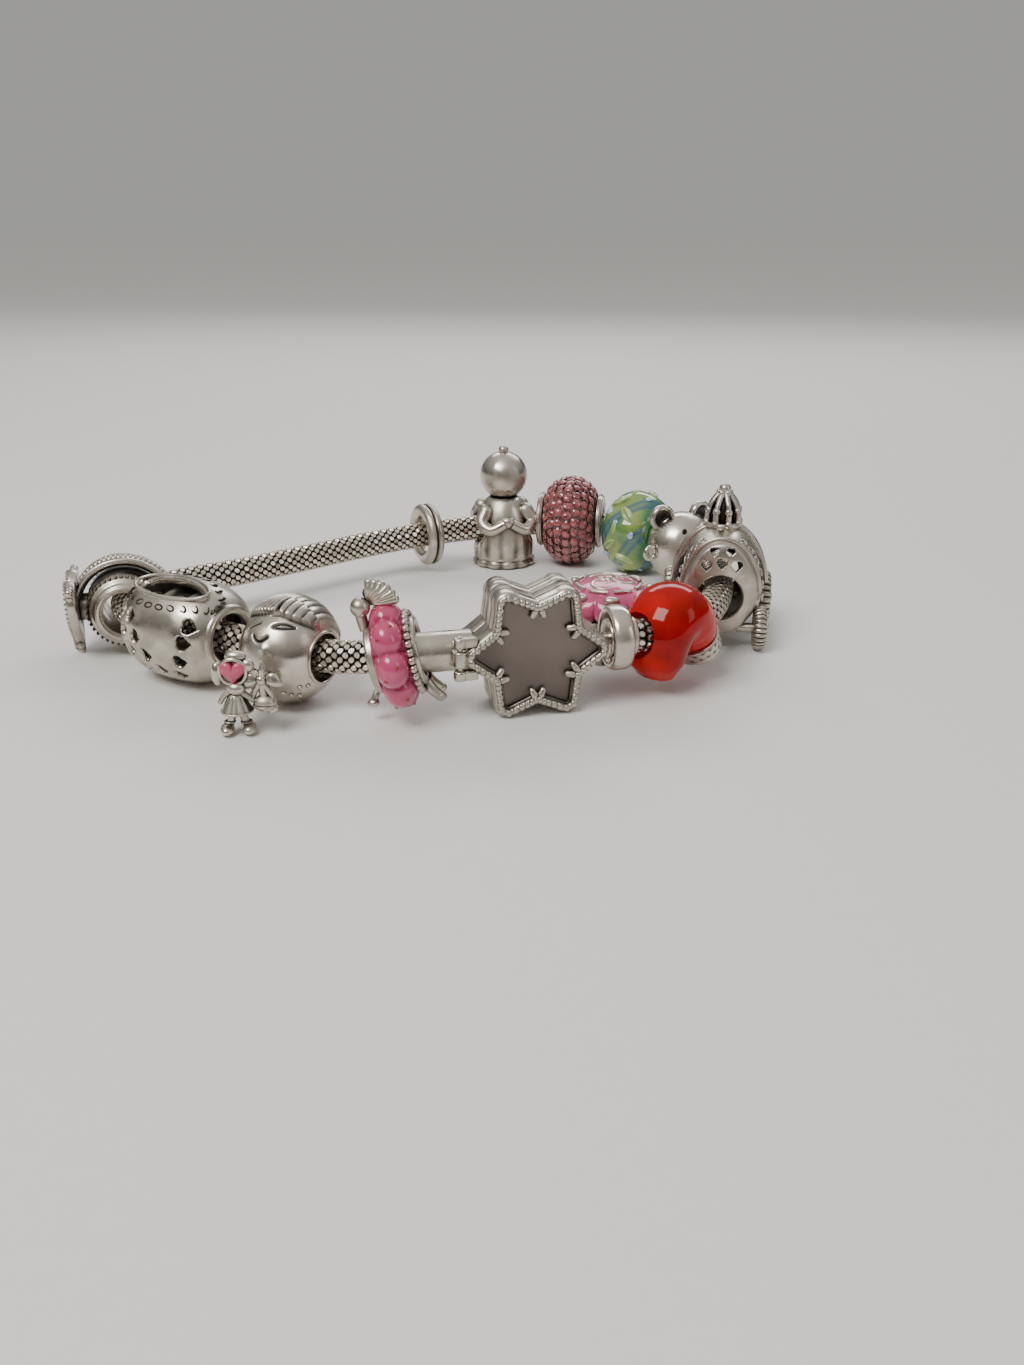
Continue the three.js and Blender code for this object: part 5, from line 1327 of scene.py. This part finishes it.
def lobedCore():
    h, core, bore = lobed["length"] / 2 + 0.7, lobed["core"], lobed["bore"]
    profile = eased([(-h + 0.3, bore), (-h + 0.3, core - 0.05), (h, core - 0.05), (h, bore)], 0.3,
                    closed=True)
    parts = [turned(profile, sides=72, closed=True)]
    top = lobed["radius"] + 0.1
    stem = smoothCurve([(-h + 0.5, 0.1, core - 0.3), (-h + 0.45, 0.1, core + 0.8), (-h + 0.5, 0, top - 0.1)],
                       8)
    parts += [balls(about("x", lobed["half"] + 0.3, core + 0.35, around(30)), 0.36, 12), tube(stem, 0.5, 16),
              ball((-h + 0.65, -0.3, top - 0.05), 0.88, 26)]
    root = np.array([-h + 1.3, 0, top + 0.1])
    for k in range(6):  # ribs of the shell spread from its root
        spread = math.radians(-4 + 15 * k)
        reach = np.array([math.cos(spread), 0, math.sin(spread)])
        tip = root + reach * (2.3 - 0.5 * math.sin(spread)) + (0, -0.1, 0)
        path = smoothCurve([root, root + reach * 1.2 + (0, -0.4, 0), tip], 8)
        parts += [tube(path, np.linspace(0.18, 0.44, len(path)), 12), ovoid(tip, (0.44, 0.4, 0.44), 14)]
    parts += [ovoid(root + (0.95, 0.2, 0.75), (1.2, 0.3, 0.85), 28, recess=0.7),
              rod((-h + 0.2, -0.5, -core + 0.4), (-h - 0.3, -0.8, -core - 0.4), 0.3),
              ovoid((-h - 0.35, -0.85, -core - 0.5), (0.55, 0.55, 0.42), 22)]
    for side in (-1, 1):
        path = smoothCurve([(h - 0.2, side * 0.6, -core + 0.2), (h + 0.25, side * 0.85, -core - 0.55),
                            (h + 0.7, side * 1.0, -core - 1.1)], 8)
        parts += [tube(path, np.linspace(0.58, 0.42, len(path)), 16),
                  ovoid((h + 0.75, side * 1.02, -core - 1.15), (0.52, 0.46, 0.42), 16)]
    return parts


def leaning(parts):
    return strung("lobed", turnedAbout("y", lobed["tilt"], parts))


makePiece("lobedRing", leaning([lobedRing()]), [pinkEnamel], ["lobed_ring"])
makePiece("lobedDots", leaning(lobedDots()), [redDot])
makePiece("lobedCore", leaning(lobedCore()), [silver], ["lobed_core"])
print("lobed ring made")


# Sleeping face.

face = dict(half=4.3, radius=4.7, partX=0.5, rise=0.52, lean=32, line=0.52, hookX=-1.2, bore=2.2)


# Distance-like mark of a drawn stroke: a Gaussian of the nearness to a polyline in along and turn.
def stroke(x, across, points, width):
    best = np.full(x.shape, 9.0)
    points = np.asarray(points, float)
    for start, end in zip(points[:-1], points[1:]):
        a, b = end - start
        t = np.clip(((x - start[0]) * a + (across - start[1]) * b) / (a * a + b * b), 0, 1)
        best = np.minimum(best, np.hypot(x - start[0] - t * a, across - start[1] - t * b))
    return np.exp(-(best / width) ** 2)


# Head: an ellipsoid; its hair is raised where the place is above a leaning line, with ribs that run down from
# a parting, and the closed eyes and brows are drawn into it.
def faceHead():
    half, r = face["half"], face["radius"]
    profile = ellipseProfile(half, r, face["bore"], 150)
    turn = around(300)[None]
    x, radius = profile[:, :1] + 0 * turn, profile[:, 1:] + 0 * turn
    outside = np.clip((radius - face["bore"] - 0.25) * 2, 0, 1)
    y, z = -radius * np.sin(turn), radius * np.cos(turn)
    lean = math.radians(face["lean"])
    line = (y * math.sin(lean) + z * math.cos(lean)) / r - face["line"] + 0.11 * np.abs(x - 0.7) / half
    parting = np.exp(-((x - face["partX"]) / 0.2) ** 2) * (y < 1.2)
    hair = 1 / (1 + np.exp(-(line - 0.22 * parting) / 0.016))
    fromParting = x - face["partX"]
    ribs = np.abs(np.sin(np.where(fromParting > 0, 4.6 * fromParting - 0.8 * turn,
                                  8.0 * fromParting + 3.0 * turn)))
    relief = hair * face["rise"] * (0.62 + 0.38 * ribs ** 0.5) * outside
    lip = np.exp(-((line + 0.035) / 0.03) ** 2)
    across = r * (turn - np.pi / 2)
    eyes = np.zeros_like(x)
    arc = np.linspace(-1, 1, 9)
    bow = 0.22 * (1 - arc ** 2)
    strokes = [(-0.1 + 0.72 * arc, -2.35 - 0.5 * arc ** 2, 0.14),
               (1.6 + 0.8 * arc, -4.3 - 0.35 * arc - bow, 0.11),
               (1.6 + 0.8 * arc, -4.25 - 0.35 * arc + bow, 0.11),
               (-1.15 + 0.6 * arc, -3.75 - 0.3 * arc, 0.09), (0.2 + 0.5 * arc, 0.4 - 0.15 * arc ** 2, 0.1)]
    for places, level, width in strokes:
        eyes = np.maximum(eyes, stroke(x, across, np.column_stack([places, level]), width))
    nose = np.exp(-((x - 0.6) ** 2 + (across + 1.75) ** 2) / 0.14)
    relief = relief - 0.24 * eyes * outside * (1 - hair) + 0.16 * nose * outside
    radius = radius + relief
    mark = np.clip(np.maximum(eyes * (1 - hair), hair * (1 - ribs) ** 2 * 0.9) + lip * 0.9, 0, 1) * outside
    return part(about("x", x, radius, turn), wrapRows=True, recess=mark)


facePlace = pathAt(stations["face"])
doll = dict(x=-14.9, y=-26.6, height=7.4, skirt=1.25, eye=1.8, wire=0.34, eyeHeight=2.7, ring=0.32,
            heart=0.95, ribbonX=2.3, ribbonZ=4.6)
faceZ = doll["eyeHeight"] - facePlace[2]
faceReach = face["radius"] * 0.98 + doll["eye"] / 2 - doll["wire"]
faceHook = (face["hookX"], -math.sqrt(faceReach ** 2 - faceZ ** 2 - face["hookX"] ** 2), faceZ)


def faceParts():
    parts = [faceHead(), eyelet(faceHook, doll["eye"], doll["wire"], -math.pi / 2)]
    edge = face["half"] * math.cos(math.asin(face["bore"] / face["radius"]))
    parts += [collar(end * (edge - 0.02), face["bore"] + 0.1, 0.14) for end in (-1, 1)]
    for k in range(5):  # small leaves in relief by the right bore
        turn = math.pi / 2 + 0.62 + 0.13 * (k % 3)
        x = 1.7 + 0.42 * k
        r = face["radius"] * math.sqrt(1 - (x / face["half"]) ** 2) + 0.02
        parts.append(ovoid(about("x", x, r, turn), (0.3, 0.2, 0.2), 12))
    return parts


makePiece("faceBead", strung("face", faceParts()), [brightSilver], ["face_bead"])
print("face bead made")


# Small doll with a heart and a ribbon.

# Tapered limb through points, round at both ends.
def limb(points, radii, sides=16):
    path, reach = smoothCurve(points, 8), smoothCurve(np.asarray(radii, float)[:, None], 8)[:, 0]
    return [tube(path, reach, sides), ball(points[0], radii[0], 16), ball(points[-1], radii[-1], 16)]


dollEye = (0, doll["skirt"] * 0.5 + doll["eye"] / 2, doll["eyeHeight"])


def dollFigure():
    h, r = doll["height"], doll["skirt"]
    parts = []
    for side, turn in ((-1, -0.25), (1, 0.35)):
        foot = [ovoid((side * 0.92, -0.32, 0.5), (0.62, 0.95, 0.5), 26)]
        parts += turnedAbout("z", math.degrees(turn) * side * 0.4, foot)
        parts += limb([(side * 0.8, 0, 0.6), (side * 0.55, 0.05, 1.3), (side * 0.34, 0.05, 2.6)],
                      [0.36, 0.34, 0.38])
        parts.append(ring((side * 0.72, 0, 1.05), 0.42, 0.11, count=28, sides=8, recess=0.3))
    wave = np.cos(12 * around(120)[None])
    skirt = eased([(h * 0.5, 0.35), (h * 0.49, 0.55), (h * 0.42, 0.8), (h * 0.3, r * 1.02),
                   (h * 0.27, r * 1.06), (h * 0.26, r * 0.9), (h * 0.3, 0.5)], 0.2, steps=5)
    parts.append(turned(skirt, "z", 120, relief=0.04 * wave * (skirt[:, :1] < h * 0.47),
                        recess=0.35 * np.maximum(-wave, 0) * (skirt[:, :1] < h * 0.45)))
    parts.append(ring((0, 0, h * 0.285), r * 1.05, 0.1, count=72, sides=8))
    parts += limb([(0.35, -0.1, h * 0.53), (1.3, -0.05, h * 0.43), (2.75, 0.1, h * 0.31)], [0.3, 0.27, 0.25])
    parts += limb([(-0.35, -0.1, h * 0.53), (-0.95, -0.2, h * 0.47), (-1.3, -0.3, h * 0.4)],
                  [0.28, 0.24, 0.22])
    # The hand, the chest, the back of the head, hair at both sides, a curl and the crown.
    parts += [ovoid(*row) for row in (
        ((2.95, 0.15, h * 0.3), (0.5, 0.5, 0.5), 24), ((0.15, -0.15, h * 0.565), (0.82, 0.7, 0.62), 32),
        ((0, 0.5, h * 0.76), (1.2, 0.5, 1.15), 32), ((-1.42, 0.05, h * 0.73), (0.5, 0.48, 1.05), 26),
        ((1.2, 0.05, h * 0.83), (0.58, 0.48, 0.62), 26), ((1.12, 0.15, h * 0.66), (0.44, 0.42, 0.44), 20),
        ((0.2, 0.25, h * 0.93), (0.92, 0.5, 0.5), 26))]
    parts += [ring((0, -0.34, h * 0.77), 1.12, 0.16, (1, 0, 0), (0, 0, 1), 56, 10),
              eyelet(dollEye, doll["eye"], doll["wire"], math.pi / 2)]
    return parts + moved(ribbonParts(), (doll["ribbonX"], 0, doll["ribbonZ"]))


# Ribbon: a pointed top, two loops swept to the sides with a ridge each, and a dome on a stem below.
def ribbonParts():
    parts = []
    for side in (-1, 1):
        u = np.linspace(0.02, 0.98, 26)[:, None]
        v = around(40)[None]
        width = 0.62 * np.sin(np.pi * u) ** 0.6 * (0.75 + 0.25 * u)
        fold = 0.12 * np.cos(3 * v) * np.sin(np.pi * u)
        x = side * (0.1 + 1.7 * u) + 0 * v
        y = (0.42 * np.sin(np.pi * u) ** 0.7) * np.sin(v) * (1 + fold) - 0.12 * np.sin(np.pi * u)
        z = 0.25 + 0.1 * np.sin(np.pi * u) - 0.35 * u ** 2 + (width + fold) * np.cos(v)
        parts.append(part(np.stack([x, y, z], -1), recess=np.clip(-fold * 6, 0, 1) + 0 * x))
        parts += limb([(side * 0.15, -0.1, 0.1), (side * 0.6, -0.15, -0.75), (side * 0.75, -0.1, -1.25)],
                      [0.28, 0.24, 0.16])
    parts += limb([(0, 0, 0.6), (0.05, 0, 1.2), (0.1, 0, 1.85)], [0.34, 0.26, 0.1])
    parts += limb([(0, 0, 0.2), (0.05, 0, -0.7), (0.1, 0, -1.3)], [0.42, 0.36, 0.4])
    return parts + [ovoid((0, -0.15, 0.3), (0.42, 0.5, 0.5), 26),
                    ovoid((0.15, -0.1, -1.8), (0.98, 0.8, 0.78), 36),
                    ring((0.15, -0.1, -1.95), 0.92, 0.13, count=48, sides=8, recess=0.3)]


# A heart's outline of half width 1: the sine cubed against a sum of four cosines.
def heartOutline(turn):
    high = 13 * np.cos(turn) - 5 * np.cos(2 * turn) - 2 * np.cos(3 * turn) - np.cos(4 * turn)
    return np.sin(turn) ** 3, high / 16


# Enamel heart, domed by the distance from its outline.
def dollHeart():
    a, b = heartOutline(around(72)[None])
    share = np.linspace(0.06, 1, 14)
    depth = np.append(-0.42 * np.sqrt(1 - share ** 2), 0.35)[:, None]
    reach = np.append(share, 1)[:, None] * doll["heart"] * 1.18
    grid = np.stack(np.broadcast_arrays(reach * a, depth, reach * b + 0.05), -1)
    return moved([part(grid)], (0, -0.42, doll["height"] * 0.77))


dollSpot = np.array([doll["x"], doll["y"], 0.0])
makePiece("dollDrop", moved(dollFigure(), dollSpot + shift), [brightSilver], ["doll_drop"])
makePiece("dollHeart", moved(dollHeart(), dollSpot + shift), [heartEnamel], ["doll_heart"])
makePiece("dropRing", moved([jumpRing(spotOn("face", faceHook), dollSpot + dollEye, doll["ring"])], shift),
          [silver], ["drop_ring"])
print("doll made")


# Pierced cushion bead.

cushion = dict(length=11.2, radius=4.95, wall=0.7, window=4.1, windowWidth=1.5, windowTurn=0.3, hole=0.74,
               bore=2.3)


# Cushion: a turned shape of rounded shoulders; u runs from bore to bore over the outside.
def cushionSkin(u, v):
    half = cushion["length"] / 2
    side = np.array([(half - 0.1, cushion["bore"]), (half, 2.75), (half * 0.93, 3.45), (half * 0.78, 4.15),
                     (half * 0.5, 4.75), (half * 0.2, cushion["radius"])])
    curve = smoothCurve(np.vstack([side * (-1, 1), side[::-1]]), 20)
    length = np.concatenate([[0], np.cumsum(np.hypot(*np.diff(curve, axis=0).T))])
    s = u * length[-1]
    x, radius = np.interp(s, length, curve[:, 0]), np.interp(s, length, curve[:, 1])
    return about("x", x, radius, 2 * np.pi * v)


# The piercings: degrees down from the top and place along, on each side.
pierceTurns = [(58, -4.3), (64, -2.6), (82, -3.7), (86, -1.7), (104, -2.7), (108, -4.4), (106, -0.6),
               (128, -3.5), (128, -1.6), (124, 0.6), (62, 4.3), (84, 3.9), (108, 3.3), (130, 2.6)]


def cushionHoles(points):
    x, y, z = points[..., 0], points[..., 1], points[..., 2]
    radius = np.hypot(y, z)
    turn = np.arctan2(-y, z)
    away = (turn - cushion["windowTurn"]) * radius / cushion["windowWidth"]
    window = np.hypot(x / cushion["window"], away)
    lens = (np.abs(x) / cushion["window"]) ** 1.6 + away ** 2
    gap = np.where((np.abs(turn) < 0.9) & (window < 3), (lens - 1) * 0.7, 9)
    for down, along in pierceTurns:
        for side in (-1, 1):
            local = (turn - side * math.radians(down) + np.pi) % (2 * np.pi) - np.pi
            b = -local * radius * side
            near = (np.abs(local) < 0.5) & (np.abs(x - along) < 1.6)
            gap = np.minimum(gap, np.where(near, heartEdge(b, along - x, cushion["hole"]), 9))
    return gap


def cushionTrim():
    half, r, tilt = cushion["length"] / 2, cushion["radius"], cushion["windowTurn"]
    parts = []
    for end in (-1, 1):
        parts += [collar(end * (half - 0.28), cushion["bore"] + 0.42, 0.48, 72, 16),
                  collar(end * (half - 0.95), 3.52, 0.14, 72, 10, recess=0.2)]
    turn = around(96)  # the window's raised edge
    along = cushion["window"] * 1.1 * np.cos(turn)
    over = cushion["windowWidth"] * 1.2 * np.sin(turn) / r + tilt
    edge = about("x", along, r - 0.055 * (np.abs(along) / 2.2) ** 2.6, over)
    parts.append(tube(edge, 0.17, 10, closed=True))
    for angle in around(26):  # engraved ovals round the window
        x = cushion["window"] * 1.34 * math.cos(angle)
        out = about("x", 0, 1, cushion["windowWidth"] * 1.85 * math.sin(angle) / r + tilt)
        surface = np.interp(abs(x), [0, 1.1, 2.8, 4.37, 5.2], [r, r, 4.75, 4.15, 3.45])
        spin = math.atan2(math.sin(angle) * 1.5, math.cos(angle)) + math.pi / 2
        first = np.array([math.cos(spin), 0, 0]) + np.cross(out, (1, 0, 0)) * math.sin(spin)
        parts.append(ring(out * surface + (x, 0, 0), 0.34, 0.085, first * 1.25, np.cross(out, first) * 0.7,
                          20, 8, recess=0.9))
    turn = np.linspace(-2.4, 2.4, 50)
    for middle in (-1.65, 1.2):  # curved bands seen inside the window
        parts.append(tube(about("x", middle + 0.6 * np.cos(turn), 3.3, turn), 0.45, 14, recess=0.45))
    return parts


shell = makePiece("piercedShell", strung("pierced", [pierced(cushionSkin, cushionHoles, 166, 274)]),
                  [silver, insideShadeSilver], ["pierced_bead"])
thicken(shell, cushion["wall"])
makePiece("piercedTrim", strung("pierced", cushionTrim()), [silver])
print("pierced bead made")


# Framed barrel bead.

framed = dict(length=6.8, radius=3.8, plate=8.8, plateThick=0.9, plateOut=4.4, bandThick=0.7, bore=2.15)


def framedParts():
    half, r, out = framed["length"] / 2, framed["radius"], framed["plateOut"]
    face, plate = -out - framed["plateThick"], framed["plate"]
    side = np.array([(half, framed["bore"]), (half, r * 0.76), (half * 0.86, r * 0.8), (half * 0.8, r * 0.9),
                     (half * 0.55, r * 0.97)])
    profile = np.vstack([side * (-1, 1), [(0, r)], side[::-1]])
    a, b = (value * plate / 2 for value in heartOutline(around(120)))
    rows = [(0.05, face + 0.25, 1), (0.84, face + 0.25, 1), (0.87, face + 0.02, 1), (0.9, face, 0.3),
            (0.96, face, 0), (0.99, face + 0.12, 0), (1, face + 0.3, 0), (1, -out - 0.2, 0),
            (0.97, -out, 0.2), (0.05, -out, 0.4)]
    share, depth, mark = np.array(rows).T[:, :, None]
    grid = np.stack(np.broadcast_arrays(share * a, depth, share * b + 0.1), -1)
    edge = np.column_stack([0.935 * a, np.full(120, face - 0.02), 0.935 * b + 0.1])
    parts = [turned(eased(profile, 0.18, closed=True), sides=72, closed=True), part(grid, recess=mark),
             balls(edge[::2], 0.2, 8)]
    swirl = np.linspace(0.4, 2.3 * np.pi, 50)
    for way in (-1, 1):  # scrolls in the plate
        path = np.column_stack([way * (1.5 + 0.2 * swirl * np.cos(swirl)), np.full(50, face + 0.2),
                                1.1 + 0.2 * swirl * np.sin(swirl)])
        parts.append(tube(path, 0.2, 10))
    parts += [tube([(0, face + 0.2, -2.9), (0, face + 0.2, 0.2)], 0.2, 10),
              rod((0, -r + 0.8, 0), (0, -out - 0.3, 0), 1.3, sides=24)]
    radius = out + framed["bandThick"] / 2
    turn = np.linspace(-np.pi / 2 + 0.1, np.pi / 2 - 0.1, 120)
    # A double band over the top, granules between its wires, and a strip below.
    parts += [tube(about("x", x, radius, turn), 0.3, 12) for x in (-0.95, 0.95)]
    strip = np.linspace(-1, 1, 9)[None] * 0.75
    inner, lower = (about("x", strip, radius - drop, turn[:, None]) for drop in (0.3, 0.55))
    parts += [balls(about("x", 0, radius, turn[::4]), 0.42, 14),
              part(np.concatenate([inner, lower[:, ::-1]], 1), recess=1.0)]
    for way in (-1, 1):
        parts.append(rod((0, way * (r - 0.8), 0.7), (0, way * (radius - 0.1), 0.7), 0.75, sides=20))
        parts += [ball((x, way * radius, 0.35), 0.5, 18) for x in (-0.95, 0, 0.95)]
    for x, z in ((-0.46, 0.3), (0.46, 0.3), (0, -0.46)):  # three-ball clusters at the plate's corners
        centre = (x * plate, -out - framed["plateThick"] / 2, z * plate)
        parts.append(balls(centre + about("y", 0, 0.42, around(3, 0.5)), 0.42, 14))
    bar = ovoid((0, 0, 0), (0.42, 0.16, 0.16), 8)
    for end in (-1, 1):
        places = [(spot, *np.eye(3)) for spot in about("x", end * half * 0.7, r * 0.95, around(40))]
        parts += [collar(end * (half - 0.1), framed["bore"] + 0.42, 0.26), scattered(bar, places)]
    return parts


makePiece("framedBead", strung("framed", framedParts()), [silver], ["framed_bead"])
print("framed bead made")
